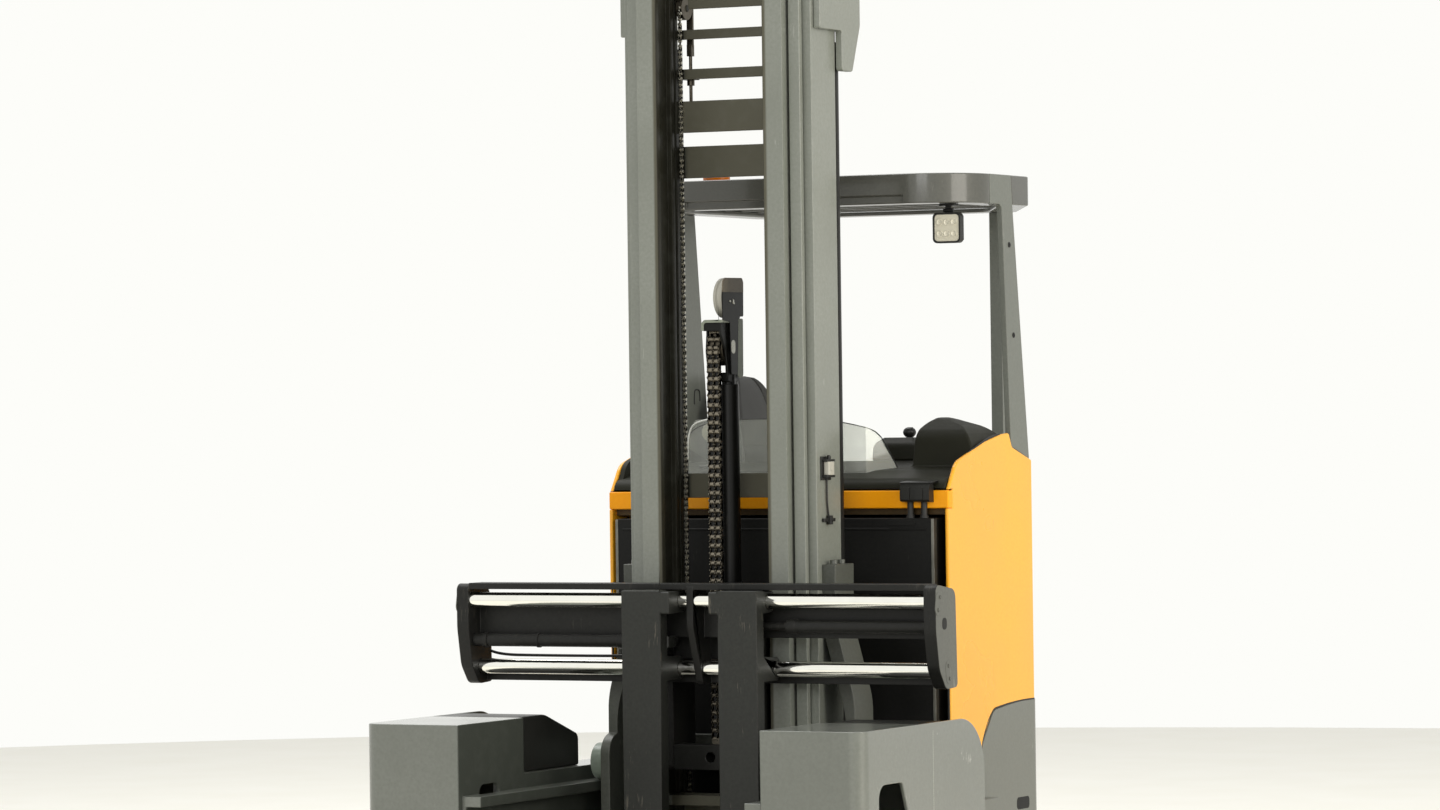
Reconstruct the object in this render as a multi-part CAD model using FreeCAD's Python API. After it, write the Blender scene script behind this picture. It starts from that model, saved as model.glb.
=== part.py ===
"""Four-way reach truck: separate pieces in one frame.

Millimetres.  +X is the operator's entry side, +Y points to the rear, +Z is up.  Every value
below is measured from the tips of the two support legs (y = 0) and from the floor (z = 0).
The pieces are shifted along Y on export, so that the origin lies on the floor at the middle
of the whole truck.
"""
import FreeCAD, Part
import math
import os

V = FreeCAD.Vector

# ---------------------------------------------------------------- driving dimensions

# Overall sizes
LEG_SPAN = 1573.0            # outside width over the two support legs
LEG_GAP = 950.0              # clear width between the legs' inner plates
LEG_TIP_HEIGHT = 620.0       # height of the box over each load wheel
BODY_WIDTH = 1120.0          # chassis and cab width
BODY_FRONT = 1065.0          # y of the chassis front, behind the mast
BODY_REAR = 2150.0           # y of the truck's rear end
GUARD_HEIGHT = 2186.0        # top of the overhead guard
MAST_HEIGHT = 2800.0         # top of the lowered mast
FORK_LENGTH = 1150.0         # fork blade, from the face of the shank

# Common clearances
SEAT = 0.3                   # gap under a piece that only rests
FIT = 0.05                   # radial clearance of a pin in its bore
SLIDE_FIT = 0.1              # radial clearance of a sleeve on its bar

# Support legs
PLATE = 12.0                 # welded plate of the legs
LEG_BOTTOM = 95.0            # underside of the legs
LEG_OUTER_LENGTH = 800.0     # length of the outer plate's tall part
LEG_INNER_LENGTH = 376.0     # length of the inner plate's tall part
LEG_LOW_HEIGHT = 460.0       # height of the leg behind the tall part
COVER_REAR = 752.0           # rear end of the moulded cover on each leg
LEG_CORNER = 45.0            # radius of the outer front corner
RAIL_WIDTH = 60.0            # how far the reach rail stands in from the leg
RAIL_TOP = 418.0             # running face for the upper rollers
RAIL_BOTTOM = 150.0          # underside of the reach rail
RAIL_PLATE = 30.0            # thickness of the rail's web
RAIL_START = 20.0            # front end of the rail
LEG_ROUND = 155.0            # radius of the tall part's upper rear corner
SLOT_FRONT = 104.0           # slot beside the load wheel in the outer plate, its front edge
SLOT_REAR = 290.0            # its rear edge, which leans forward over SLOT_BEND
SLOT_BEND = 385.0            # height where that edge turns upright
SLOT_TOP = 467.0             # its top
HATCH_FRONT = 110.0          # lower and narrower slot in the inner plate
HATCH_REAR = 240.0           # rear edge of that slot
HATCH_TOP = 444.0
BEAM_START = 420.0           # the leg's solid beam begins behind the wheel
BEAM_WIDTH = 130.0           # width of that beam
SWIVEL_PLATE_Z = 345.0       # underside of the plate that carries the wheel's turntable

# Load wheels
WHEEL_Y = 190.0              # axle of the front load wheels
WHEEL_R = 125.0              # radius with the tyre
WHEEL_WIDTH = 110.0          # width of the tread
AXLE_R = 16.0                # radius of the load wheel's axle
TURNTABLE_R = 118.0          # ring that lets the load wheel swivel
TURNTABLE_THICK = 30.0       # height of that ring
CHEEK = 12.0                 # fork plate beside the load wheel

# Drive wheel and its steered gearbox
DRIVE_X = -160.0             # the drive wheel sits off the middle line
DRIVE_Y = 1830.0             # axis it is steered about
DRIVE_R = 171.5              # radius with the tyre
DRIVE_WIDTH = 140.0          # width of the tread
DRIVE_AXLE_R = 30.0          # stub axle in the gearbox
DRIVE_TOP = 430.0            # underside of the plate that carries the drive turntable
DRIVE_TABLE_R = 180.0        # steering ring of the drive
MOTOR_R = 100.0              # upright traction motor
MOTOR_TOP = 640.0            # top of that motor

# Chassis
FLOOR_BOTTOM = 110.0         # underside of the floor plate
FLOOR_TOP = 200.0            # upper face of the floor plate
SILL_TOP = 620.0             # top of the grey lower body
STEP_TOP = 360.0             # operator's floor
BODY_STRAIGHT = 1666.0       # the sides run straight to here, then draw in
REAR_WIDTH = 680.0           # width left at the rear end
REAR_CORNER = 90.0           # rear corner on the entry side
CLOSED_CORNER = 110.0        # rear corner on the closed side
SHEET = 12.0                 # body panel thickness
BATTERY_FRONT = 1040.0       # front face of the battery trough
BATTERY_REAR = 1450.0        # its rear face
BATTERY_BOTTOM = 215.0       # its underside, on the floor plate's rollers
BATTERY_TOP = 1176.0         # its upper rim
BATTERY_WIDTH = 1046.0       # its width across the truck
BAND_BOTTOM = 1204.0         # yellow band across the front, over the battery
BAND_TOP = 1256.0            # upper edge of that band
BAND_DEPTH = 30.0            # depth of that band
PANEL_TOP = 1412.0           # highest point of the side panels
PANEL_REAR = 1662.0          # rear edge of the side panels
DASH_TOP = 1330.0            # height of the moulded dash
DASH_REAR = 1506.0           # edge of the dash in front of the operator
HUMP_TOP = 1480.0            # top of the dash's raised end
SEAT_BASE = 700.0            # top of the box under the seat
SEAT_Y = 1750.0              # middle of the seat
SEAT_WIDTH = 390.0           # width of the seat's pads
HOOD_TOP = 1010.0            # top of the yellow rear hood
HOOD_DEPTH = 86.0            # depth of the hood across the rear
HOOD_SIDE = 130.0            # width of the hood on the closed side
STEER_X = 140.0              # middle of the steering wheel
STEER_Y = 1985.0             # the same along the truck
STEER_Z = 1130.0             # top of its bracket
STEER_R = 100.0              # radius of its rim
CONSOLE_X = 232.0            # middle of the lift controls' housing
CONSOLE_TOP = 1408.0         # top of that housing
SCREEN_Y = 1150.0            # front face of the clear screen
SCREEN_HEIGHT = 150.0        # height of the screen over the dash
BEACON_X = -378.0            # warning beacon on the roof's front edge
LAMP_X = 458.0               # work lamp under the roof's front edge
PLUG_X = 470.0               # battery connector on the band

# Overhead guard
GUARD_X = 556.0              # outer face of the front posts
POST_THICK = 18.0            # thickness of the front posts
HEAD_FRONT = 1394.0          # front edge of the posts' upper ends in the roof's sides
POST_EXTRA = 48.0            # the post on the closed side is this much wider
ROOF_DEPTH = 88.0            # depth of the roof's rim
ROOF_FRONT = 1200.0          # front edge of the roof
ROOF_STRAIGHT = 1672.0       # the roof's sides run straight to here, then draw in
ROOF_REAR_X = 306.0          # half width of the roof at its rear, on the entry side
BAR_START = 120.0            # first cross bar, from the roof's front edge
BAR_PITCH = 112.0            # from one cross bar to the next
BAR_DEPTH = 22.0             # depth of a cross bar
ROOF_CORNER = 194.0          # radius of the roof's front corners
REAR_POST = 40.0             # square section of the rear posts
REAR_POST_Y = 2096.0         # middle of the rear posts
REAR_POST_X = {"left": -496.0, "right": 262.0}   # one stands at each rear corner

# Mast: three nested stages, sizes of the right-hand section
OUTER_X = 303.0              # outside of the outer stage
OUTER_FRONT = 724.0          # front face of the outer stage
OUTER_REAR = 881.0           # its rear face
OUTER_WEB = 16.0             # thickness of its web
OUTER_LIP = 37.0             # width of its flanges
MIDDLE_WEB = 15.0            # web of the middle stage
MIDDLE_LIP = 36.0            # its front flange
INNER_WEB = 25.0             # web of the inner stage
INNER_LIP = 64.0             # front flange of the inner stage
INNER_REAR_LIP = 40.0        # its narrower rear flange
FLANGE = 20.0                # thickness of all the flanges
STAGE_STEP = 27.0            # each inner stage stands this much further forward
STAGE_GAP_X = 7.0            # side gap between nested webs
MAST_BOTTOM = 130.0          # lower end of the outer stage
CROSS_PLATE = 16.0           # thickness of the cross plates

# Reach carriage
REACH_CLEAR = 10.0           # gap to the battery when fully drawn in
REACH_REAR = BATTERY_FRONT - REACH_CLEAR   # rear face of the carriage's beams
REACH_SIDE_X = 372.0         # inner face of the side plates
REACH_SIDE_PLATE = 30.0      # thickness of the side plates
ROLLER_Y = (762.0, 968.0)    # the two rollers on each side
ROLLER_R = 54.0              # rollers on the leg rails
ROLLER_WIDTH = 38.0          # tread of those rollers
BRACKET_TOP = 1050.0         # top of the arms that hold the mast

# Main lift cylinders, behind the uprights
CYL_X = 255.0                # one stands behind each upright
CYL_R = 35.0                 # radius of the barrels
ROD_R = 22.0                 # radius of the rods
CYL_TOP = 2560.0             # upper end of the barrels

# Free lift cylinder, in the middle of the inner stage
FREE_Y = 770.0               # axis of the cylinder
FREE_R = 30.0                # radius of its barrel
FREE_ROD_R = 20.0            # radius of its rod
FREE_BOTTOM = 380.0          # foot of its barrel
FREE_TOP = 1572.0            # upper end of its barrel
PULLEY_R = 52.0              # chain pulley on its rod
PULLEY_Z = 1678.0            # height of that pulley, rod drawn in
CHAIN_X = -17.0              # the lift chain runs a little to the left of the middle
CHAIN_WIDTH = 42.0           # width of the lift chain
CHAIN_THICK = 12.0           # depth of its links
HOSE_PULLEY_R = 58.0         # wheel for the hoses
HOSE_PULLEY_Z = 1822.0       # height of that wheel
HOSE_PULLEY_WIDTH = 25.0     # width of that wheel

# Mast chains, from the outer stage over a pulley on the middle stage to the inner stage
MAST_CHAIN_X = 183.0         # one hangs on each side
MAST_CHAIN_WIDTH = 20.0      # width of a mast chain
MAST_CHAIN_THICK = 8.0       # depth of its links
MAST_PULLEY_R = 34.0         # pulley on the middle stage
MAST_PULLEY_Z = 2676.0       # height of that pulley
ANCHOR_Z = 2468.0            # underside of the cross plate that holds the chain anchors

# Cross plates of the three stages, lower and upper edge of each
OUTER_BARS = [(MAST_BOTTOM, 330), (1241, 1313), (2178, 2271), (ANCHOR_Z, ANCHOR_Z + 30), (2585, 2613)]
MIDDLE_BARS = [(MAST_BOTTOM + 10, 300), (2310, 2402)]
INNER_BARS = [(MAST_BOTTOM + 20, 380), (2730, 2770)]
HEAD_LOW = 2732.0            # underside of the middle stage's head plate at its ends
HEAD_DROP = 2671.0           # its underside between the mast chains

# Lift carriage, fork carriage and forks
SLIDE_PLATE_X = 135.0        # inner face of the lift carriage's plates
SLIDE_PLATE = 25.0           # thickness of those plates
SLIDE_BOTTOM = 460.0         # lower end of those plates
SLIDE_BAR = 72.0             # height of the lower cross bar, which holds the chain
SLIDE_TOP = 950.0            # upper end of those plates
TILT_Y = 634.0               # axis the fork carriage tilts about
TILT_Z = 890.0               # height of that axis
TILT_PIN_R = 18.0            # pin on that axis
BAR_R = 22.5                 # chromed bars that carry the forks
UPPER_BAR_Y = 543.0          # axis of the upper bar
UPPER_BAR_Z = 952.0          # its height
LOWER_BAR_Y = 593.0          # axis of the lower bar
LOWER_BAR_Z = 757.0          # its height
FRAME_HALF = 734.0           # inside of the carriage's end plates
END_PLATE = 38.0             # thickness of the end plates
FORK_WIDTH = 125.0           # width of a blade
FORK_THICK = 45.0            # thickness of a blade at its heel
FORK_FACE = 465.0            # front face of the shanks
FORK_BOTTOM = 50.0           # underside of the lowered blades
FORK_TOP = 983.0             # top of the shanks
FORK_X = {"left": -137.0, "right": 173.0}   # where each fork stands
SLEEVE_EXTRA = 29.0          # the upper sleeve reaches this far inwards of the shank
SHIFT_Y = 555.0              # axis of the positioning cylinders
SHIFT_R = 19.0               # radius of their barrels
SHIFT_ROD_R = 11.0           # radius of their rods
SHIFT_Z = {"left": 835.0, "right": 880.0}   # height of each cylinder
SHIFT_FROM = {"left": 225.0, "right": 290.0}     # inner end of each barrel, from the middle
SHIFT_LUG = {"left": 78.0, "right": 140.0}        # place of the lug on each fork
SHIFT_ROD_END = {"left": 498.0, "right": 560.0}   # how far each rod reaches

FORK_TIP = FORK_FACE - FORK_LENGTH
ORIGIN_Y = (FORK_TIP + BODY_REAR) / 2
SIDES = {"left": -1, "right": 1}


# ---------------------------------------------------------------- shape helpers

def box(x0, x1, y0, y1, z0, z1):
    """A box between two corners, given in any order."""
    low = V(min(x0, x1), min(y0, y1), min(z0, z1))
    return Part.makeBox(abs(x1 - x0), abs(y1 - y0), abs(z1 - z0), low)


def rod(axis, centre, radius, length):
    """A cylinder centred on a point, along one axis."""
    way = {"x": V(1, 0, 0), "y": V(0, 1, 0), "z": V(0, 0, 1)}[axis]
    return Part.makeCylinder(radius, length, V(*centre) - way * (length / 2), way)


def tube(axis, centre, outer, inner, length):
    """A hollow cylinder."""
    return rod(axis, centre, outer, length).cut(rod(axis, centre, inner, length + 2))


def outline(corners, axis, lo, hi):
    """A closed outline pushed along an axis; each corner is (u, v) or (u, v, radius).

    u, v are y, z for axis x; x, z for axis y; x, y for axis z.
    """
    place = {"x": lambda u, v: V(lo, u, v), "y": lambda u, v: V(u, lo, v),
             "z": lambda u, v: V(u, v, lo)}[axis]
    push = {"x": V(hi - lo, 0, 0), "y": V(0, hi - lo, 0), "z": V(0, 0, hi - lo)}[axis]
    points = [place(c[0], c[1]) for c in corners]
    edges = []
    starts = []
    for i, here in enumerate(points):
        radius = corners[i][2] if len(corners[i]) > 2 else 0
        if not radius:
            starts.append((here, here))
            continue
        back = (points[i - 1] - here).normalize()
        ahead = (points[(i + 1) % len(points)] - here).normalize()
        half = back.getAngle(ahead) / 2
        reach = radius / math.tan(half)
        middle = (back + ahead).normalize()
        top = here + middle * (radius / math.sin(half) - radius)
        begin = here + back * reach
        end = here + ahead * reach
        edges.append((i, Part.Arc(begin, top, end).toShape()))
        starts.append((begin, end))
    arcs = dict(edges)
    wire = []
    for i in range(len(points)):
        if i in arcs:
            wire.append(arcs[i])
        leave = starts[i][1]
        arrive = starts[(i + 1) % len(points)][0]
        if leave.distanceToPoint(arrive) > 1e-6:
            wire.append(Part.LineSegment(leave, arrive).toShape())
    face = Part.Face(Part.Wire(Part.__sortEdges__(wire)))
    return face.extrude(push)


def join(*shapes):
    """Fuse shapes into one and tidy the seams."""
    whole = shapes[0]
    for other in shapes[1:]:
        whole = whole.fuse(other)
    return whole.removeSplitter()


def mirrored(shape):
    """The same piece on the other side of the truck's centre plane."""
    return shape.mirror(V(0, 0, 0), V(1, 0, 0))


def group(*shapes):
    """Several solids of one node that do not touch."""
    return Part.makeCompound([solid for shape in shapes for solid in shape.Solids])


def both(shape):
    """A right-hand piece and its mirror image, as separate solids of one node."""
    return group(shape, mirrored(shape))


PARTS = {}


def sided(name, shape):
    """Store a right-hand piece and its left-hand twin."""
    PARTS[name + "_right"] = shape
    PARTS[name + "_left"] = mirrored(shape)


# ---------------------------------------------------------------- support legs

LEG_X = LEG_SPAN / 2
LEG_IN = LEG_GAP / 2
WHEEL_X = (LEG_X + LEG_IN) / 2


def support_leg():
    """A welded box over the load wheel, a beam back to the chassis and the reach rail."""
    plan = [(LEG_IN, 0), (LEG_X, 0, LEG_CORNER), (LEG_X, LEG_OUTER_LENGTH), (LEG_IN, LEG_OUTER_LENGTH)]
    room = [(LEG_IN + PLATE, PLATE), (LEG_X - PLATE, PLATE, LEG_CORNER - PLATE),
            (LEG_X - PLATE, LEG_OUTER_LENGTH - PLATE), (LEG_IN + PLATE, LEG_OUTER_LENGTH - PLATE)]
    side = [(0, LEG_BOTTOM), (0, LEG_TIP_HEIGHT), (LEG_OUTER_LENGTH, LEG_TIP_HEIGHT, LEG_ROUND),
            (LEG_OUTER_LENGTH, LEG_BOTTOM)]
    inside = [(0, LEG_BOTTOM), (0, LEG_TIP_HEIGHT - PLATE),
              (LEG_OUTER_LENGTH, LEG_TIP_HEIGHT - PLATE, LEG_ROUND - PLATE), (LEG_OUTER_LENGTH, LEG_BOTTOM)]
    shell = outline(plan, "z", LEG_BOTTOM, LEG_TIP_HEIGHT)
    shell = shell.common(outline(side, "x", LEG_IN - 1, LEG_X + 1))
    hollow = outline(room, "z", LEG_BOTTOM - 1, LEG_TIP_HEIGHT)
    hollow = hollow.common(outline(inside, "x", LEG_IN - 1, LEG_X + 1))
    shell = shell.cut(hollow)
    # behind the wheel only the outer plate is tall, and a moulded cover takes the place of the top plate
    shell = shell.cut(box(LEG_IN - 1, LEG_X - PLATE, LEG_INNER_LENGTH, LEG_OUTER_LENGTH + 1,
                          LEG_LOW_HEIGHT, LEG_TIP_HEIGHT + 1))
    slot = outline([(SLOT_FRONT, 0), (SLOT_FRONT + 2, SLOT_TOP, 40), (SLOT_REAR - 36, SLOT_TOP, 14),
                    (SLOT_REAR, SLOT_BEND), (SLOT_REAR, 0)], "x", LEG_X - PLATE - 1, LEG_X + 1)
    hatch = outline([(HATCH_FRONT, 0), (HATCH_FRONT + 8, HATCH_TOP, 26), (HATCH_REAR - 8, HATCH_TOP, 30),
                     (HATCH_REAR, 0)], "x", LEG_IN - 1, LEG_IN + PLATE + 1)
    shell = shell.cut(slot).cut(hatch)
    beam = box(LEG_IN, LEG_IN + BEAM_WIDTH, BEAM_START, BODY_FRONT, LEG_BOTTOM + 40, LEG_LOW_HEIGHT)
    carrier = box(LEG_IN + PLATE / 2, LEG_X - PLATE / 2, PLATE / 2, BEAM_START + PLATE,
                  SWIVEL_PLATE_Z, SWIVEL_PLATE_Z + 20)
    carrier = carrier.cut(outline([(LEG_X - PLATE / 2 - 60, PLATE / 2 - 1), (LEG_X, PLATE / 2 - 1),
                                   (LEG_X, PLATE / 2 + 59)], "z", 0, 1000))
    rail_x = LEG_IN - RAIL_WIDTH
    top = box(rail_x, LEG_IN, RAIL_START, BODY_FRONT, RAIL_TOP - RAIL_PLATE, RAIL_TOP)
    foot = box(rail_x, LEG_IN, RAIL_START, BODY_FRONT, RAIL_BOTTOM, RAIL_BOTTOM + RAIL_PLATE)
    web = box(LEG_IN - PLATE, LEG_IN, RAIL_START, BODY_FRONT, RAIL_BOTTOM, RAIL_TOP)
    top = top.fuse(foot).fuse(web).cut(hatch)
    return join(shell, beam, carrier, top)


def swivel_cover():
    """The dark moulded cover over the steering motor, behind each wheel box's inner plate."""
    x0 = LEG_IN + PLATE + 14
    x1 = LEG_X - PLATE - SEAT
    side = [(LEG_INNER_LENGTH + 2, LEG_LOW_HEIGHT + SEAT), (LEG_INNER_LENGTH + 2, LEG_TIP_HEIGHT, 6),
            (COVER_REAR - 200, LEG_TIP_HEIGHT, 120), (COVER_REAR, LEG_TIP_HEIGHT - 68, 25),
            (COVER_REAR, LEG_LOW_HEIGHT + SEAT)]
    return outline(side, "x", x0, x1)


def load_yoke():
    """Turntable and two cheeks that hold one load wheel and turn it for driving sideways."""
    top = SWIVEL_PLATE_Z - SEAT
    table = rod("z", (WHEEL_X, WHEEL_Y, top - TURNTABLE_THICK / 2), TURNTABLE_R, TURNTABLE_THICK)
    reach = WHEEL_WIDTH / 2 + 6
    pieces = [table]
    for way in (-1, 1):
        pieces.append(outline([(WHEEL_Y - 30, WHEEL_R - 28, 25), (WHEEL_Y - 55, top - TURNTABLE_THICK),
                               (WHEEL_Y + 55, top - TURNTABLE_THICK), (WHEEL_Y + 30, WHEEL_R - 28, 25)],
                              "x", WHEEL_X + way * reach, WHEEL_X + way * (reach + CHEEK)))
    pieces.append(rod("x", (WHEEL_X, WHEEL_Y, WHEEL_R), AXLE_R, 2 * (reach + CHEEK)))
    return join(*pieces)


def rolling_wheel(x, y, radius, width, bore, round_off):
    """A solid tyre with rounded shoulders on a hub, bored for its axle."""
    tyre = rod("x", (x, y, radius), radius, width)
    rims = [e for e in tyre.Edges if e.Curve.TypeId == "Part::GeomCircle"]
    tyre = tyre.makeFillet(round_off, rims)
    for way in (-1, 1):
        tyre = tyre.cut(rod("x", (x + way * width / 2, y, radius), radius * 0.62, 16))
    return tyre.cut(rod("x", (x, y, radius), bore, width + 2))


leg = support_leg()
sided("leg", leg)
sided("swivel_cover", swivel_cover())
sided("load_yoke", load_yoke())
sided("load_wheel", rolling_wheel(WHEEL_X, WHEEL_Y, WHEEL_R, WHEEL_WIDTH, AXLE_R + FIT, 10))


# ---------------------------------------------------------------- chassis

HALF = BODY_WIDTH / 2
REAR_HALF = REAR_WIDTH / 2


def body_plan(inset, front):
    """Plan of the body: straight on the closed side, drawn in towards the rear on the entry side."""
    slope = math.atan2(HALF - REAR_HALF, BODY_REAR - BODY_STRAIGHT)
    at_rear = inset * (1 / math.cos(slope) - math.tan(slope))
    wide = HALF - inset
    narrow = REAR_HALF - at_rear
    turn = BODY_STRAIGHT - inset * math.tan(slope / 2)
    return [(-wide, front), (wide, front), (wide, turn, 60),
            (narrow, BODY_REAR - inset, REAR_CORNER - inset),
            (-wide, BODY_REAR - inset, CLOSED_CORNER - inset)]


def chassis_frame():
    """Floor plate, lower body walls and the beams that take the legs."""
    floor = outline(body_plan(0, BODY_FRONT), "z", FLOOR_BOTTOM, FLOOR_TOP)
    wall = outline(body_plan(0, BODY_FRONT), "z", FLOOR_TOP, SILL_TOP)
    wall = wall.cut(outline(body_plan(PLATE, BODY_FRONT - 1), "z", FLOOR_TOP - 1, SILL_TOP + 1))
    # the walls step down under the yellow panels and at the entry
    front_cut = outline([(BODY_FRONT - 1, FLOOR_TOP + 160), (BODY_FRONT - 1, SILL_TOP + 1),
                         (1580, SILL_TOP + 1), (1470, SILL_TOP - 8, 200), (1366, SILL_TOP - 18, 50),
                         (1284, SILL_TOP - 112, 60), (1272, FLOOR_TOP + 160)],
                        "x", -HALF - 1, HALF + 1)
    wall = wall.cut(front_cut)
    entry = box(0, HALF + 1, BODY_STRAIGHT + 10, BODY_REAR - 70, STEP_TOP, SILL_TOP + 1)
    wall = wall.cut(entry)
    deck = outline(body_plan(PLATE / 2, BATTERY_REAR + 20), "z", STEP_TOP - 20, STEP_TOP)
    well = rod("z", (DRIVE_X, DRIVE_Y, 0), DRIVE_TABLE_R + 30, 2 * STEP_TOP + 200)
    floor = floor.cut(well)
    deck = deck.cut(well)
    shelf = tube("z", (DRIVE_X, DRIVE_Y, DRIVE_TOP + 10), DRIVE_TABLE_R + 42, MOTOR_R + 12, 20)
    ring = tube("z", (DRIVE_X, DRIVE_Y, (FLOOR_TOP + DRIVE_TOP + 20) / 2), DRIVE_TABLE_R + 42,
                DRIVE_TABLE_R + 30, DRIVE_TOP + 20 - FLOOR_TOP)
    bulkhead = box(-HALF + PLATE + SEAT, HALF - PLATE - SEAT, BATTERY_REAR + 8, BATTERY_REAR + 20,
                   FLOOR_TOP, BAND_BOTTOM)
    shoulders = []
    for way in (-1, 1):
        shoulders.append(box(way * (BATTERY_WIDTH / 2 + 10), way * (LEG_IN + BEAM_WIDTH), BODY_FRONT,
                             BODY_FRONT + 230,
                             LEG_BOTTOM + 40, FLOOR_TOP + 150))
    return join(floor, wall, deck, shelf, ring, bulkhead, *shoulders)


def side_panel():
    """Yellow side panel beside the battery, its top edge rising in a curve to the guard post."""
    side = [(BODY_FRONT, FLOOR_TOP + 162), (BODY_FRONT, BAND_TOP - 8, 40),
            (BODY_FRONT + 62, BAND_TOP + 82, 70),
            (1330, BAND_TOP + 138, 300), (1440, PANEL_TOP + 2, 160), (1500, PANEL_TOP + 6, 12),
            (1522, PANEL_TOP - 36, 22), (PANEL_REAR, PANEL_TOP - 76), (PANEL_REAR, SILL_TOP + SEAT),
            (1574, SILL_TOP + SEAT), (1466, SILL_TOP - 5, 200), (1362, SILL_TOP - 14, 50),
            (1280, SILL_TOP - 110, 60), (1268, FLOOR_TOP + 162)]
    panel = outline(side, "x", HALF - SHEET, HALF)
    return panel.cut(box(HALF - SHEET - 1, HALF + 1, BODY_FRONT - 1, BODY_FRONT + BAND_DEPTH + SEAT,
                         BAND_BOTTOM - SEAT, BAND_TOP + SEAT))


def front_band():
    """Yellow crossbar over the battery, with a lip that stands back under its face."""
    face = box(-HALF, HALF, BODY_FRONT, BODY_FRONT + BAND_DEPTH, BAND_BOTTOM, BAND_TOP)
    inner = HALF - SHEET - SEAT
    lip = box(-inner, inner, BODY_FRONT + BAND_DEPTH - 6, BODY_FRONT + BAND_DEPTH, BAND_BOTTOM - 18,
              BAND_BOTTOM + 1)
    return join(face, lip)


def dash_cover():
    """Black moulded cover between the side panels, with a raised hump on the entry side."""
    inner = HALF - SHEET - SEAT
    side = [(BODY_FRONT + 4, BAND_TOP + SEAT), (BODY_FRONT + 8, BAND_TOP + 30, 40),
            (1180, DASH_TOP - 16, 120), (1420, DASH_TOP + 10, 60), (DASH_REAR, DASH_TOP - 10, 20),
            (DASH_REAR, BAND_TOP + SEAT)]
    base = outline(side, "x", -inner, inner)
    hump_side = [(1250, BAND_TOP + 20), (1270, HUMP_TOP - 58, 60), (1400, HUMP_TOP, 90),
                 (1498, PANEL_TOP, 30), (1498, BAND_TOP + 20)]
    hump_front = [(352, BAND_TOP + 20), (362, HUMP_TOP + 2, 40), (inner, PANEL_TOP + 12, 90),
                  (inner, BAND_TOP + 20)]
    hump = outline(hump_side, "x", 330, inner).common(outline(hump_front, "y", 1240, 1510))
    skirt = box(-inner, inner, DASH_REAR - 12, DASH_REAR, STEP_TOP + 330, BAND_TOP + 20)
    return join(base, hump, skirt)


def battery():
    """Steel battery trough, its lower front set back behind the ends of the legs."""
    side = [(BODY_FRONT + 2, BATTERY_BOTTOM), (BATTERY_REAR, BATTERY_BOTTOM),
            (BATTERY_REAR, BATTERY_TOP),
            (BATTERY_FRONT, BATTERY_TOP), (BATTERY_FRONT, LEG_LOW_HEIGHT + 2),
            (BODY_FRONT + 2, LEG_LOW_HEIGHT + 2)]
    return outline(side, "x", -BATTERY_WIDTH / 2, BATTERY_WIDTH / 2)


def battery_shelf():
    """Rollers' tray that the battery stands on."""
    return box(-BATTERY_WIDTH / 2, BATTERY_WIDTH / 2, BODY_FRONT + 2, BATTERY_REAR,
               FLOOR_TOP + SEAT, BATTERY_BOTTOM - SEAT)


def drive_hood():
    """Hollow yellow hood along the closed side and across the rear."""
    low = SILL_TOP + SEAT
    side_x = -HALF + HOOD_SIDE
    rear_y = BODY_REAR - HOOD_DEPTH
    outside = join(box(-HALF, side_x, PANEL_REAR + 2, BODY_REAR, low, HOOD_TOP),
                   box(-HALF, HALF, rear_y, BODY_REAR, low, HOOD_TOP))
    outside = outside.common(outline(body_plan(0, PANEL_REAR), "z", low, HOOD_TOP))
    inside = join(box(-HALF, side_x - SHEET, PANEL_REAR + 2 + SHEET, BODY_REAR, low - 1,
                      HOOD_TOP - SHEET),
                  box(-HALF, HALF, rear_y + SHEET, BODY_REAR, low - 1, HOOD_TOP - SHEET))
    return outside.cut(inside.common(outline(body_plan(SHEET, PANEL_REAR), "z", low - 1, HOOD_TOP)))


def seat_box():
    """Closed box under the seat, round the drive."""
    side_x = -HALF + HOOD_SIDE + 2
    rear = BODY_REAR - HOOD_DEPTH - 2
    near = DRIVE_X + DRIVE_TABLE_R + 52
    front = DASH_REAR + 28
    block = box(side_x, near, front, rear, STEP_TOP + SEAT, SEAT_BASE)
    return block.cut(box(side_x + 8, near - 8, front + 8, rear - 8, STEP_TOP, SEAT_BASE - 12))


PARTS["chassis_frame"] = chassis_frame()
sided("side_panel", side_panel())
PARTS["front_band"] = front_band()
PARTS["dash_cover"] = dash_cover()
PARTS["battery"] = battery()
PARTS["battery_shelf"] = battery_shelf()
PARTS["drive_hood"] = drive_hood()
PARTS["seat_box"] = seat_box()


# ---------------------------------------------------------------- operator's place

def seat_cushion():
    side = [(-390, SEAT_BASE + SEAT), (-390, SEAT_BASE + 90, 30), (10, SEAT_BASE + 110, 50),
            (50, SEAT_BASE + 60, 30), (20, SEAT_BASE + SEAT)]
    return outline(side, "y", SEAT_Y - SEAT_WIDTH / 2, SEAT_Y + SEAT_WIDTH / 2)


def seat_back():
    half = SEAT_WIDTH / 2 + 5
    back = -HALF + HOOD_SIDE + 3
    side = [(-392, SEAT_BASE + SEAT), (back, SEAT_BASE + SEAT), (back, HOOD_TOP + 10, 80),
            (-500, 1480, 60),
            (-490, 1582, 40), (-420, 1570, 40), (-290, SEAT_BASE + 230, 80), (-280, SEAT_BASE + 118),
            (-392, SEAT_BASE + 118)]
    slab = outline(side, "y", SEAT_Y - half, SEAT_Y + half)
    front = [(SEAT_Y - half + 8, SEAT_BASE), (SEAT_Y - half, 1330, 150), (SEAT_Y - 110, 1600, 110),
             (SEAT_Y + 110, 1600, 110), (SEAT_Y + half, 1330, 150), (SEAT_Y + half - 8, SEAT_BASE)]
    return slab.common(outline(front, "x", -600, -200))


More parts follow.
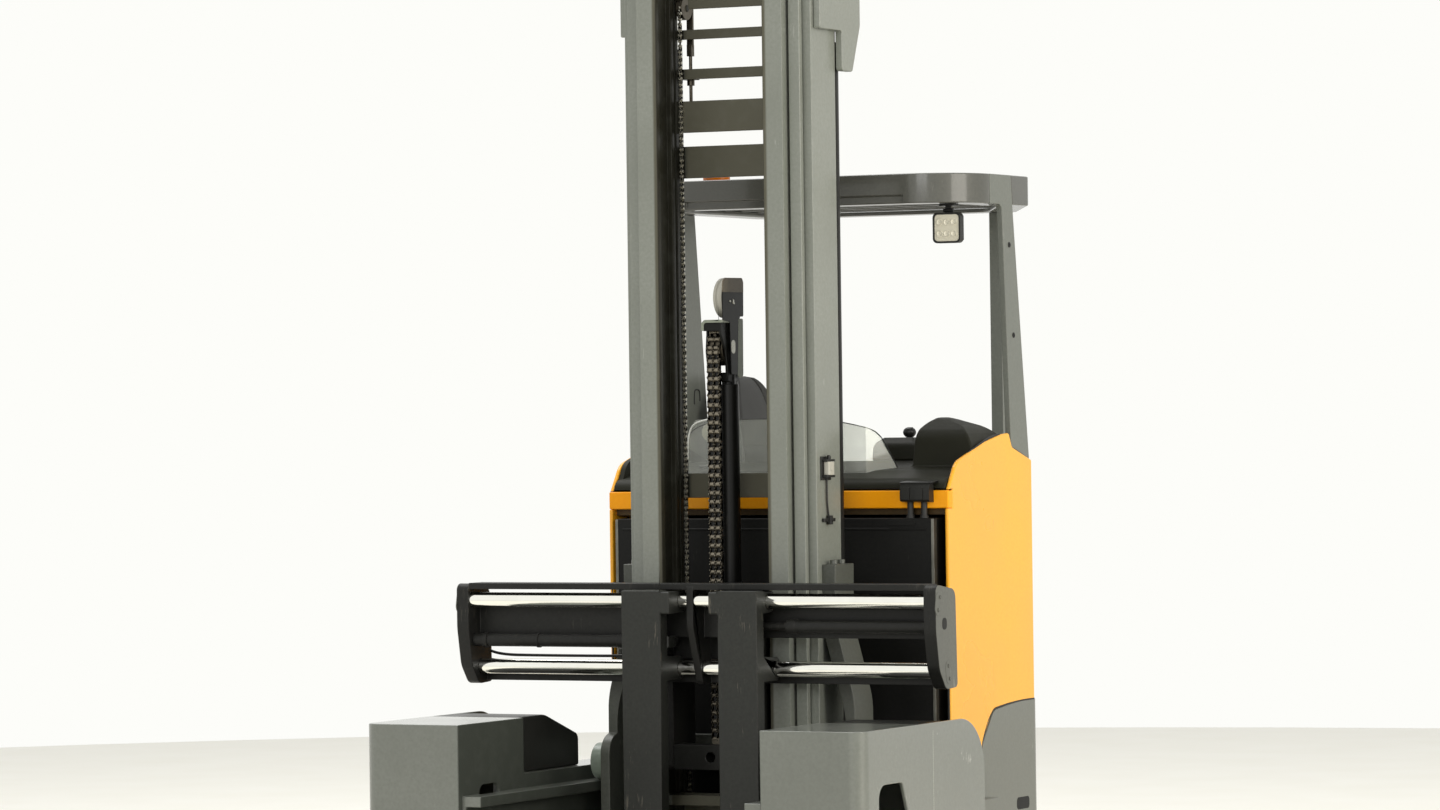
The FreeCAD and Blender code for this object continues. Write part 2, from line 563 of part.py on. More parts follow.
def steering_console():
    """Bracket on the rear hood, with the pin that the steering wheel turns on."""
    side = [(BODY_REAR - 20, HOOD_TOP + SEAT), (BODY_REAR - 20, HOOD_TOP + 40, 20),
            (STEER_Y + 60, STEER_Z - 22, 30),
            (STEER_Y - 40, STEER_Z - 22, 12), (STEER_Y - 40, STEER_Z - 52, 12),
            (STEER_Y + 40, STEER_Z - 60, 30),
            (BODY_REAR - HOOD_DEPTH + 4, HOOD_TOP + SEAT)]
    arm = outline(side, "x", STEER_X - 45, STEER_X + 45)
    return join(arm, rod("z", (STEER_X, STEER_Y, STEER_Z - 12), 12, 40))


def steering_wheel():
    ring = Part.makeTorus(STEER_R, 12, V(STEER_X, STEER_Y, STEER_Z + 14), V(0, 0, 1))
    hub = rod("z", (STEER_X, STEER_Y, STEER_Z - 3 + SEAT), 38, 38)
    spokes = [box(STEER_X - STEER_R, STEER_X + STEER_R, STEER_Y - 11, STEER_Y + 11, STEER_Z + 6,
                  STEER_Z + 14),
              box(STEER_X - 11, STEER_X + 11, STEER_Y - STEER_R, STEER_Y, STEER_Z + 6, STEER_Z + 14)]
    knob = rod("z", (STEER_X, STEER_Y + STEER_R, STEER_Z + 40), 17, 34)
    wheel = join(ring, hub, *spokes, knob)
    return wheel.cut(rod("z", (STEER_X, STEER_Y, STEER_Z - 12), 12 + FIT, 41))


def control_console():
    """Padded housing of the lift controls on the rear half of the dash, cut off obliquely on its right."""
    slope = 20 / (DASH_REAR - 1420)
    low_front = DASH_TOP + 10 + SEAT
    low_rear = DASH_TOP + 10 - slope * 68 + SEAT
    ledge = CONSOLE_TOP - 16
    side = [(1420, low_front), (1430, CONSOLE_TOP - 20, 30), (1470, CONSOLE_TOP, 20),
            (1512, CONSOLE_TOP, 8),
            (1520, ledge, 4), (1572, ledge, 10), (1590, 1290, 20), (DASH_REAR + 6, 1270, 10),
            (DASH_REAR + 6, low_rear), (1488, low_rear)]
    front = [(CONSOLE_X - 88, 1200), (CONSOLE_X - 88, CONSOLE_TOP - 10, 30),
             (CONSOLE_X - 60, CONSOLE_TOP + 4, 30),
             (CONSOLE_X + 22, CONSOLE_TOP + 4, 30), (CONSOLE_X + 88, CONSOLE_TOP - 52, 20),
             (CONSOLE_X + 88, 1200)]
    block = outline(side, "x", CONSOLE_X - 90, CONSOLE_X + 90)
    return block.common(outline(front, "y", 1400, 1600))


def joystick():
    base = (CONSOLE_X - 20, 1545)
    low = CONSOLE_TOP - 16 + SEAT
    boot = Part.makeCone(20, 9, 14, V(*base, low), V(0, 0, 1))
    ball = Part.makeSphere(20, V(*base, low + 26))
    return join(boot, ball)


def front_screen():
    """Clear screen across the dash, its end on the entry side folded back."""
    corners = [(-334, 0), (-334, SCREEN_HEIGHT - 52, 10), (-312, SCREEN_HEIGHT, 12),
               (90, SCREEN_HEIGHT - 2, 400),
               (318, SCREEN_HEIGHT - 38, 30), (365, 0)]
    foot = DASH_TOP - 16 - (1180 - SCREEN_Y) * 0.2617
    sheet = outline([(c[0], c[1] + foot + 1.0, *c[2:]) for c in corners], "y", SCREEN_Y, SCREEN_Y + 4)
    return sheet


PARTS["seat_cushion"] = seat_cushion()
PARTS["seat_back"] = seat_back()
PARTS["steering_console"] = steering_console()
PARTS["steering_wheel"] = steering_wheel()
PARTS["control_console"] = control_console()
PARTS["joystick"] = joystick()
PARTS["front_screen"] = front_screen()


# ---------------------------------------------------------------- overhead guard

def post_head(grow):
    """Upper end of a front post, let into the side of the roof; grow widens it for its recess."""
    low = GUARD_HEIGHT - ROOF_DEPTH
    return outline([(HEAD_FRONT - grow, low - grow), (HEAD_FRONT - grow, GUARD_HEIGHT + grow),
                    (HEAD_FRONT + 151 + grow, GUARD_HEIGHT + grow),
                    (HEAD_FRONT + 162 + grow, low - grow)],
                   "x", GUARD_X - POST_THICK - grow, GUARD_X + grow)


def guard_post(extra):
    """Flat post, wider at its foot, that leans back a little; extra widens it to the rear."""
    low = GUARD_HEIGHT - ROOF_DEPTH
    side = [(1523, PANEL_TOP - 34), (1478, low, 24), (HEAD_FRONT, low), (HEAD_FRONT, low + 1),
            (HEAD_FRONT + 162 + extra, low + 1), (HEAD_FRONT + 162 + extra, low - 1),
            (PANEL_REAR - 8 + extra * 0.7, PANEL_TOP - 73)]
    post = outline(side, "x", GUARD_X - POST_THICK, GUARD_X)
    post = post.cut(box(0, HALF, HEAD_FRONT + 162 + SEAT, BODY_REAR, low - SEAT, low + 2))
    strap = box(GUARD_X - POST_THICK, HALF - SHEET - SEAT, 1526, PANEL_REAR - 10, STEP_TOP + SEAT,
                PANEL_TOP - 75)
    foot = box(HALF - SHEET - 30, HALF - SHEET - SEAT, 1526, 1540, STEP_TOP + SEAT, PANEL_TOP - 75)
    return join(post, post_head(0), strap, foot)


def rear_post(side):
    x = REAR_POST_X[side]
    half = REAR_POST / 2
    return box(x - half, x + half, REAR_POST_Y - half, REAR_POST_Y + half, HOOD_TOP + SEAT,
               GUARD_HEIGHT - ROOF_DEPTH - SEAT)


def roof_plan(inset):
    slope = math.atan2(GUARD_X - ROOF_REAR_X, BODY_REAR - 8 - ROOF_STRAIGHT)
    turn = ROOF_STRAIGHT - inset * math.tan(slope / 2)
    wide = GUARD_X - inset
    narrow = ROOF_REAR_X - inset * (1 / math.cos(slope) - math.tan(slope))
    round_front = ROOF_CORNER - inset
    return [(-wide, ROOF_FRONT + inset, round_front), (wide, ROOF_FRONT + inset, round_front),
            (wide, turn, 40),
            (narrow, BODY_REAR - 8 - inset, 60),
            (-wide, BODY_REAR - 8 - inset, CLOSED_CORNER - inset / 2)]


def roof_frame():
    """Rim of the guard, a deep band all round with a ledge inside and a step along its front."""
    low = GUARD_HEIGHT - ROOF_DEPTH
    rim = outline(roof_plan(0), "z", low, GUARD_HEIGHT)
    rim = rim.cut(outline(roof_plan(22), "z", low - 1, GUARD_HEIGHT + 1))
    front = GUARD_X - ROOF_CORNER
    rim = rim.cut(box(-front, front, ROOF_FRONT - 1, ROOF_FRONT + 12, low - 1, low + 24))
    head = post_head(SEAT)
    rim = rim.cut(head).cut(mirrored(head))
    ledge = outline(roof_plan(20), "z", low, low + 14).cut(outline(roof_plan(90), "z", low - 1,
                                                                   low + 20))
    ledge = ledge.cut(head).cut(mirrored(head))
    return join(rim, ledge)


def roof_bars():
    """Cross bars of the guard over the operator."""
    low = GUARD_HEIGHT - ROOF_DEPTH + 14 + SEAT
    bars = []
    room = outline(roof_plan(22 + SEAT), "z", low, low + 60)
    for i in range(8):
        y = ROOF_FRONT + BAR_START + i * BAR_PITCH
        bars.append(box(-GUARD_X, GUARD_X, y, y + BAR_DEPTH, low, low + 45).common(room))
    return group(*bars)


def work_lamp():
    """Square lamp under the front of the roof, with its bracket."""
    low = GUARD_HEIGHT - ROOF_DEPTH
    head = box(LAMP_X - 46, LAMP_X + 46, ROOF_FRONT + 96, ROOF_FRONT + 144, low - 118, low - 32)
    head = head.makeFillet(12, [e for e in head.Edges if abs(e.Vertexes[0].Y - e.Vertexes[1].Y) > 10])
    stem = box(LAMP_X - 14, LAMP_X + 14, ROOF_FRONT + 110, ROOF_FRONT + 130, low - 34, low - SEAT)
    return join(head, stem)


def beacon():
    """Warning light on a cross bar of the guard."""
    y = ROOF_FRONT + BAR_START + BAR_PITCH + BAR_DEPTH / 2
    low = GUARD_HEIGHT - ROOF_DEPTH + 14 + 2 * SEAT + 45
    foot = box(BEACON_X - 45, BEACON_X + 45, y - 30, y + 30, low, low + 6)
    stem = rod("z", (BEACON_X, y, low + 26), 26, 44)
    base = rod("z", (BEACON_X, y, GUARD_HEIGHT + 14), 48, 22)
    lens = rod("z", (BEACON_X, y, GUARD_HEIGHT + 54), 42, 62)
    rims = [e for e in lens.Edges
            if e.BoundBox.ZMin > GUARD_HEIGHT + 80 and e.Curve.TypeId == "Part::GeomCircle"]
    return join(foot, stem, base, lens.makeFillet(14, rims))


def battery_plug():
    """Connector housing that hangs on the band."""
    hook = outline([(BODY_FRONT - 2, BAND_TOP + 22), (BODY_FRONT - 30, BAND_TOP + 22, 8),
                    (BODY_FRONT - 34, BAND_BOTTOM + 18, 8), (BODY_FRONT - SEAT, BAND_BOTTOM + 18),
                    (BODY_FRONT - SEAT, BAND_TOP + 22 - 1)], "x", PLUG_X - 40, PLUG_X + 40)
    return hook


PARTS["guard_post_right"] = guard_post(0)
PARTS["guard_post_left"] = mirrored(guard_post(POST_EXTRA))
PARTS["rear_post_left"] = rear_post("left")
PARTS["rear_post_right"] = rear_post("right")
PARTS["roof_frame"] = roof_frame()
PARTS["roof_bars"] = roof_bars()
PARTS["work_lamp"] = work_lamp()
PARTS["beacon"] = beacon()
PARTS["battery_plug"] = battery_plug()


# ---------------------------------------------------------------- drive wheel

def drive_unit():
    """Turntable, gearbox and motor of the steered drive wheel."""
    table = rod("z", (DRIVE_X, DRIVE_Y, DRIVE_TOP - SEAT - 15), DRIVE_TABLE_R, 30)
    side = DRIVE_WIDTH / 2 + 12
    arm = outline([(DRIVE_Y - 45, DRIVE_R - 50, 40), (DRIVE_Y - 70, DRIVE_TOP - 30),
                   (DRIVE_Y + 70, DRIVE_TOP - 30), (DRIVE_Y + 45, DRIVE_R - 50, 40)],
                  "x", DRIVE_X + side, DRIVE_X + side + 45)
    axle = rod("x", (DRIVE_X + 6, DRIVE_Y, DRIVE_R), DRIVE_AXLE_R, DRIVE_WIDTH + 18)
    motor = rod("z", (DRIVE_X, DRIVE_Y, (DRIVE_TOP + MOTOR_TOP) / 2 - 10), MOTOR_R,
                MOTOR_TOP - DRIVE_TOP + 20)
    return join(table, arm, axle, motor)


PARTS["drive_unit"] = drive_unit()
PARTS["drive_wheel"] = rolling_wheel(DRIVE_X, DRIVE_Y, DRIVE_R, DRIVE_WIDTH, DRIVE_AXLE_R + FIT, 14)


# ---------------------------------------------------------------- reach carriage

def reach_carriage():
    """Side plates, cross beams and the arms that hold the mast's sides."""
    x0 = REACH_SIDE_X
    x1 = x0 + REACH_SIDE_PLATE
    side = [(700, RAIL_BOTTOM + 10, 20), (700, 540, 60), (820, 575, 40), (REACH_REAR, 560, 60),
            (REACH_REAR, RAIL_BOTTOM + 10, 20)]
    plate = outline(side, "x", x0, x1)
    arm_front = [(x0, 500), (x0, 620, 300), (OUTER_X + SEAT, 860, 300), (OUTER_X + SEAT, BRACKET_TOP),
                 (OUTER_X + SEAT + 42, BRACKET_TOP), (OUTER_X + SEAT + 40, 880, 300), (x1, 660, 300),
                 (x1, 500)]
    arm = outline(arm_front, "y", OUTER_FRONT + 28, OUTER_REAR - 6)
    bolts = [rod("z", (OUTER_X + SEAT + 21, y, BRACKET_TOP + 6), 11, 13) for y in (OUTER_FRONT + 62,
                                                                                   OUTER_REAR - 46)]
    half = join(plate, arm, *bolts)
    tie = box(OUTER_X - 20, x0 + 1, OUTER_FRONT + 16, OUTER_REAR - 12, MAST_BOTTOM + 40,
              MAST_BOTTOM + 190)
    tie = tie.cut(box(0, OUTER_X + SEAT, 0, 2000, 0, 2000))
    half = half.fuse(tie)
    beam_low = box(-x0 - 1, x0 + 1, OUTER_REAR + 24, REACH_REAR, RAIL_BOTTOM + 10, RAIL_BOTTOM + 130)
    beam_high = box(-x0 - 1, x0 + 1, 1000, REACH_REAR, 440, 540)
    return join(half, mirrored(half), beam_low, beam_high)


def reach_rollers():
    """Rollers on top of and inside the leg rails."""
    x = REACH_SIDE_X + REACH_SIDE_PLATE
    rollers = []
    for y in ROLLER_Y:
        rollers.append(rod("x", (x + ROLLER_WIDTH / 2 + SEAT, y, RAIL_TOP + ROLLER_R + SEAT), ROLLER_R,
                           ROLLER_WIDTH))
    return both(group(*rollers))


PARTS["reach_carriage"] = reach_carriage()
PARTS["reach_rollers"] = reach_rollers()


# ---------------------------------------------------------------- mast

def stage_bars(x, y0, levels, thick=CROSS_PLATE):
    """Cross plates of one stage, from one upright to the other."""
    return [box(-x, x, y0, y0 + thick, low, high) for low, high in levels]


OUTER_IN = OUTER_X - OUTER_WEB
MIDDLE_X = OUTER_X - OUTER_LIP - STAGE_GAP_X - 1     # outside of the middle stage's web
MIDDLE_FRONT = OUTER_FRONT - STAGE_STEP
MIDDLE_REAR = OUTER_REAR - STAGE_STEP
INNER_X = MIDDLE_X - MIDDLE_WEB - STAGE_GAP_X
INNER_FRONT = MIDDLE_FRONT - STAGE_STEP
INNER_REAR = MIDDLE_REAR - STAGE_STEP
PAD = 60.0                   # length of a guide pad
CHAIN_Y = INNER_REAR + 1.5 + MAST_CHAIN_THICK / 2    # front fall of the mast chains
MAST_PULLEY_Y = CHAIN_Y + MAST_CHAIN_THICK / 2 + SEAT + MAST_PULLEY_R
REAR_FALL_Y = MAST_PULLEY_Y + MAST_PULLEY_R + SEAT + MAST_CHAIN_THICK / 2
CYL_Y = OUTER_REAR + 4 + SEAT + CYL_R                # the cylinders lean on the outer stage's cross plates


def outer_mast():
    top = MAST_HEIGHT - 40
    web = box(OUTER_IN, OUTER_X, OUTER_FRONT, OUTER_REAR, MAST_BOTTOM, top)
    lips = [box(OUTER_X - OUTER_LIP, OUTER_X, y, y + FLANGE, MAST_BOTTOM, top)
            for y in (OUTER_FRONT, OUTER_REAR - FLANGE)]
    half = join(web, *lips)
    bars = stage_bars(OUTER_X - 2, OUTER_REAR - CROSS_PLATE + 4, OUTER_BARS)
    rear_fall = OUTER_REAR + 28
    shelf = box(MAST_CHAIN_X - 22, MAST_CHAIN_X + 22, OUTER_REAR - 10, rear_fall + 16, ANCHOR_Z,
                ANCHOR_Z + 30)
    shelf = shelf.cut(rod("z", (MAST_CHAIN_X, REAR_FALL_Y, ANCHOR_Z + 15), 5 + FIT, 60))
    return join(half, mirrored(half), *bars, shelf, mirrored(shelf))


def middle_mast():
    bottom = MAST_BOTTOM + 10
    top = MAST_HEIGHT - 20
    web = box(MIDDLE_X - MIDDLE_WEB, MIDDLE_X, MIDDLE_FRONT, MIDDLE_REAR, bottom, top)
    front = box(MIDDLE_X - MIDDLE_WEB, MIDDLE_X - MIDDLE_WEB + MIDDLE_LIP, MIDDLE_FRONT,
                MIDDLE_FRONT + FLANGE, bottom, top)
    rear = box(MIDDLE_X - 62, MIDDLE_X, MIDDLE_REAR - FLANGE + 2, MIDDLE_REAR, bottom, top)
    pads = [box(MIDDLE_X - 1, OUTER_IN - SEAT, MIDDLE_FRONT + 60, MIDDLE_REAR - 40, low, low + PAD)
            for low in (bottom, bottom + 500)]
    half = join(web, front, rear, *pads)
    bars = stage_bars(MIDDLE_X - 2, MIDDLE_REAR - CROSS_PLATE, MIDDLE_BARS)
    wide = MIDDLE_X - 2
    narrow = MAST_CHAIN_X - 30
    head = outline([(-wide, HEAD_LOW), (-wide, top), (wide, top), (wide, HEAD_LOW), (narrow, HEAD_LOW),
                    (narrow, HEAD_DROP), (-narrow, HEAD_DROP), (-narrow, HEAD_LOW)],
                   "y", MIDDLE_REAR - CROSS_PLATE, MIDDLE_REAR)
    hanger = box(MAST_CHAIN_X + 12, MAST_CHAIN_X + 20, MAST_PULLEY_Y - 14, MAST_PULLEY_Y + 14,
                 MAST_PULLEY_Z - 20, top)
    hanger = join(hanger, rod("x", (MAST_CHAIN_X + 2, MAST_PULLEY_Y, MAST_PULLEY_Z), 10, 30))
    yoke = box(-CYL_X - 30, CYL_X + 30, MIDDLE_REAR - FLANGE + 2, CYL_Y + 30, top - 5, top + 20)
    return join(half, mirrored(half), yoke, *bars, head, hanger, mirrored(hanger))


def inner_mast():
    bottom = MAST_BOTTOM + 20
    top = MAST_HEIGHT - 25
    web = box(INNER_X - INNER_WEB, INNER_X, INNER_FRONT, INNER_REAR, bottom, top)
    lips = [box(INNER_X - INNER_LIP, INNER_X, INNER_FRONT, INNER_FRONT + FLANGE, bottom, top),
            box(INNER_X - INNER_REAR_LIP, INNER_X, INNER_REAR - FLANGE, INNER_REAR, bottom, top)]
    pads = [box(INNER_X - 1, MIDDLE_X - MIDDLE_WEB - SEAT, INNER_FRONT + 60, INNER_REAR - 40, low,
                low + PAD)
            for low in (bottom, bottom + 500)]
    half = join(web, *lips, *pads)
    bars = stage_bars(INNER_X - 2, INNER_REAR - CROSS_PLATE, INNER_BARS)
    base = box(-INNER_X + 2, INNER_X - 2, FREE_Y - 40, INNER_REAR, FREE_BOTTOM - 30, FREE_BOTTOM)
    lug = box(MAST_CHAIN_X - 11, MAST_CHAIN_X + 11, INNER_REAR - 1, CHAIN_Y + MAST_CHAIN_THICK / 2,
              FREE_BOTTOM - 30, FREE_BOTTOM)
    return join(half, mirrored(half), base, lug, mirrored(lug), *bars)


def head_cover():
    """Thin grey cover on the outside of each upright's head."""
    step = OUTER_REAR + 2
    side = [(740, 2590, 6), (740, MAST_HEIGHT - 60, 20), (1006, MAST_HEIGHT - 60, 60), (1006, 2610, 40),
            (952, 2474, 12), (step, 2474, 12), (step, 2590, 8)]
    return outline(side, "x", OUTER_X + SEAT, OUTER_X + 22)


PARTS["outer_mast"] = outer_mast()
PARTS["middle_mast"] = middle_mast()
PARTS["inner_mast"] = inner_mast()
PARTS["head_covers"] = both(head_cover())


# ---------------------------------------------------------------- lift cylinders and chains

def lift_cylinders():
    bottom = RAIL_BOTTOM + 130 + SEAT
    barrel = rod("z", (CYL_X, CYL_Y, (bottom + CYL_TOP) / 2), CYL_R, CYL_TOP - bottom)
    bore = rod("z", (CYL_X, CYL_Y, (bottom + 30 + CYL_TOP) / 2 + 1), ROD_R + SLIDE_FIT,
               CYL_TOP - bottom - 28)
    return both(barrel.cut(bore))


def lift_rods():
    bottom = RAIL_BOTTOM + 180
    top = MAST_HEIGHT - 25 - SEAT
    return both(rod("z", (CYL_X, CYL_Y, (bottom + top) / 2), ROD_R, top - bottom))


def free_lift_cylinder():
    low = FREE_BOTTOM + SEAT
    barrel = rod("z", (0, FREE_Y, (low + FREE_TOP) / 2), FREE_R, FREE_TOP - low)
    bore = rod("z", (0, FREE_Y, (low + 30 + FREE_TOP) / 2 + 1), FREE_ROD_R + SLIDE_FIT,
               FREE_TOP - low - 28)
    return barrel.cut(bore)


def free_lift_rod():
    """Rod with the two pulleys' fork on its end."""
    low = FREE_BOTTOM + 60
    stem = rod("z", (0, FREE_Y, (low + FREE_TOP + 30) / 2), FREE_ROD_R, FREE_TOP + 30 - low)
    head = box(CHAIN_X - 34, CHAIN_X + 34, FREE_Y - 34, FREE_Y + 34, FREE_TOP + 8, FREE_TOP + 34)
    front = FREE_Y - PULLEY_R - CHAIN_THICK - 14
    cheeks = [outline([(FREE_Y - 30, FREE_TOP + 8), (FREE_Y - 46, PULLEY_Z - 10, 20),
                       (edge, PULLEY_Z + 40, 15),
                       (edge, PULLEY_Z + 79, 8), (FREE_Y + 40, PULLEY_Z + 79, 20),
                       (FREE_Y + 46, PULLEY_Z, 20),
                       (FREE_Y + 30, FREE_TOP + 8)], "x", CHAIN_X + way * 27, CHAIN_X + way * 34)
              for way, edge in ((-1, FREE_Y - 40), (1, front))]
    guard = outline([(front, PULLEY_Z + 48), (front, PULLEY_Z + 79, 12), (FREE_Y - 10, PULLEY_Z + 79),
                     (FREE_Y - 10, PULLEY_Z + 71), (front + 8, PULLEY_Z + 71, 6),
                     (front + 8, PULLEY_Z + 48)],
                    "x", CHAIN_X - 24, CHAIN_X + 34)
    pin = rod("x", (CHAIN_X, FREE_Y, PULLEY_Z), 12, 80)
    plate = outline([(FREE_Y - 34, PULLEY_Z + 60), (FREE_Y - HOSE_PULLEY_R, HOSE_PULLEY_Z - 30),
                     (FREE_Y - HOSE_PULLEY_R, HOSE_PULLEY_Z + HOSE_PULLEY_R, 50),
                     (FREE_Y + HOSE_PULLEY_R, HOSE_PULLEY_Z + HOSE_PULLEY_R, 30),
                     (FREE_Y + HOSE_PULLEY_R, HOSE_PULLEY_Z - 30), (FREE_Y + 34, PULLEY_Z + 60)],
                    "x", CHAIN_X + 27, CHAIN_X + 34)
    hose_pin = rod("x", (CHAIN_X + 14, FREE_Y, HOSE_PULLEY_Z), 9, 30)
    return join(stem, head, *cheeks, guard, pin, plate, hose_pin)


def free_lift_pulley():
    wheel = rod("x", (CHAIN_X, FREE_Y, PULLEY_Z), PULLEY_R, CHAIN_WIDTH + 6)
    return wheel.cut(rod("x", (CHAIN_X, FREE_Y, PULLEY_Z), 12 + FIT, 100))


def hose_pulley():
    """Narrow grooved wheel for the hoses, over the chain pulley."""
    x = CHAIN_X + 27 - SEAT - HOSE_PULLEY_WIDTH / 2
    wheel = rod("x", (x, FREE_Y, HOSE_PULLEY_Z), HOSE_PULLEY_R, HOSE_PULLEY_WIDTH)
    groove = Part.makeTorus(HOSE_PULLEY_R + 2, 8, V(x, FREE_Y, HOSE_PULLEY_Z), V(1, 0, 0))
    return wheel.cut(groove).cut(rod("x", (x, FREE_Y, HOSE_PULLEY_Z), 9 + FIT, 100))


def carriage_chain():
    """Front fall of the free lift chain, down to its anchor on the lift carriage."""
    y = FREE_Y - PULLEY_R - CHAIN_THICK / 2 - SEAT
    return box(CHAIN_X - CHAIN_WIDTH / 2, CHAIN_X + CHAIN_WIDTH / 2, y - CHAIN_THICK / 2,
               y + CHAIN_THICK / 2,
               SLIDE_BOTTOM + SLIDE_BAR + SEAT, PULLEY_Z)


def mast_chains():
    """Front falls of the mast chains, from the pulleys down to the inner stage's base."""
    x = MAST_CHAIN_X
    return both(box(x - MAST_CHAIN_WIDTH / 2, x + MAST_CHAIN_WIDTH / 2, CHAIN_Y - MAST_CHAIN_THICK / 2,
                    CHAIN_Y + MAST_CHAIN_THICK / 2, FREE_BOTTOM + SEAT, MAST_PULLEY_Z))


def mast_pulleys():
    """Pulleys of the mast chains, on pins held by the middle stage."""
    centre = (MAST_CHAIN_X, MAST_PULLEY_Y, MAST_PULLEY_Z)
    return both(rod("x", centre, MAST_PULLEY_R, MAST_CHAIN_WIDTH).cut(rod("x", centre, 10 + FIT, 60)))


def chain_anchors():
    """Rear falls of the mast chains, with the threaded rods that hold them to the outer stage."""
    x = MAST_CHAIN_X
    low = ANCHOR_Z - 70
    eye_z = ANCHOR_Z + 70
    bolt = rod("z", (x, REAR_FALL_Y, (low + eye_z + 10) / 2), 5, eye_z + 10 - low)
    eye = box(x - 8, x + 8, REAR_FALL_Y - 9, REAR_FALL_Y + 9, eye_z, eye_z + 34)
    fall = box(x - MAST_CHAIN_WIDTH / 2, x + MAST_CHAIN_WIDTH / 2, REAR_FALL_Y - MAST_CHAIN_THICK / 2,
               REAR_FALL_Y + MAST_CHAIN_THICK / 2, eye_z + 26, MAST_PULLEY_Z)
    nut = rod("z", (x, REAR_FALL_Y, ANCHOR_Z - 8 - SEAT), 11, 16)
    return both(join(bolt, eye, fall, nut))


PARTS["hose_pulley"] = hose_pulley()
PARTS["mast_chains"] = mast_chains()
PARTS["mast_pulleys"] = mast_pulleys()
PARTS["chain_anchors"] = chain_anchors()
PARTS["lift_cylinders"] = lift_cylinders()
PARTS["lift_rods"] = lift_rods()
PARTS["free_lift_cylinder"] = free_lift_cylinder()
PARTS["free_lift_rod"] = free_lift_rod()
PARTS["free_lift_pulley"] = free_lift_pulley()
PARTS["carriage_chain"] = carriage_chain()


# ---------------------------------------------------------------- lift carriage and fork carriage

def lift_carriage():
    """Side plates with rollers that run inside the inner stage."""
    x0 = SLIDE_PLATE_X
    x1 = x0 + SLIDE_PLATE
    side = [(655, SLIDE_BOTTOM, 15), (655, TILT_Z - 100, 20), (TILT_Y - 26, TILT_Z - 50, 10),
            (TILT_Y - 26, TILT_Z + 40, 25),
            (700, TILT_Z + 60, 20), (794, SLIDE_TOP - 60, 30), (794, SLIDE_BOTTOM, 15)]
    plate = outline(side, "x", x0, x1)
    plate = plate.cut(rod("x", (x1, TILT_Y, TILT_Z), TILT_PIN_R + FIT, 200))
    roller_y = (INNER_FRONT + INNER_REAR) / 2
    roller_r = (INNER_REAR - INNER_FRONT) / 2 - FLANGE - SEAT
    end = INNER_X - INNER_WEB - SEAT
    rollers = [rod("x", ((x1 + end) / 2, roller_y, z), roller_r, end - x1)
               for z in (SLIDE_BOTTOM + 90, SLIDE_TOP - 150)]
    half = join(plate, *rollers)
    low = box(-x0 - 1, x0 + 1, 656, 722, SLIDE_BOTTOM, SLIDE_BOTTOM + SLIDE_BAR)
    low = low.cut(rod("y", (CHAIN_X, 690, SLIDE_BOTTOM + SLIDE_BAR / 2), 15, 200))
    high = box(-x0 - 1, x0 + 1, 660, 684, 780, 860)
    return join(half, mirrored(half), low, high)


def fork_carriage():
    """End plates, rear beams, top plate and centre web around the two round bars."""
    end_plate = outline([(515, 1003, 20), (646, 985, 30), (654, 709, 14), (578, 705, 30),
                         (536, 762, 60),
                         (515, 870, 150)], "x", FRAME_HALF, FRAME_HALF + END_PLATE)
    for y, z in ((UPPER_BAR_Y, UPPER_BAR_Z), (LOWER_BAR_Y, LOWER_BAR_Z)):
        end_plate = end_plate.cut(rod("x", (FRAME_HALF + 5, y, z), BAR_R + SEAT, 30))
    beams = [box(-FRAME_HALF - 1, FRAME_HALF + 1, 584, 600, 846, 940),
             box(-FRAME_HALF - 1, FRAME_HALF + 1, 624, 640, 714, 770)]
    top = join(box(-FRAME_HALF - 1, FRAME_HALF + 1, 520, 600, 994, 1002),
               box(-FRAME_HALF - 1, FRAME_HALF + 1, 520, 527, 984, 1002))
    web_x = -5.0
    web = outline([(517, 998, 10), (600, 998, 10), (630, 770, 30), (630, 712, 14), (578, 710, 20),
                   (545, 800, 80), (517, 880, 80)], "x", web_x - 11, web_x + 11)
    for y, z in ((UPPER_BAR_Y, UPPER_BAR_Z), (LOWER_BAR_Y, LOWER_BAR_Z)):
        web = web.cut(rod("x", (web_x, y, z), BAR_R + SEAT, 60))
    lugs = []
    gap = 4.0
    for way in (-1, 1):
        for x0, x1 in ((SLIDE_PLATE_X - gap - 20, SLIDE_PLATE_X - gap),
                       (SLIDE_PLATE_X + SLIDE_PLATE + gap - 3, SLIDE_PLATE_X + SLIDE_PLATE + gap + 8)):
            lugs.append(outline([(598, 862), (598, 924), (TILT_Y + 10, 924, 20),
                                 (TILT_Y + 30, TILT_Z, 20),
                                 (TILT_Y + 10, 862, 15)], "x", way * x0, way * x1))
        lugs.append(rod("x", (way * (SLIDE_PLATE_X + SLIDE_PLATE / 2), TILT_Y, TILT_Z), TILT_PIN_R,
                        SLIDE_PLATE + 2 * gap + 20))
    return join(end_plate, mirrored(end_plate), *beams, top, web, *lugs)


def fork_bars():
    length = 2 * FRAME_HALF + 20
    return group(rod("x", (0, UPPER_BAR_Y, UPPER_BAR_Z), BAR_R, length),
                 rod("x", (0, LOWER_BAR_Y, LOWER_BAR_Z), BAR_R, length))


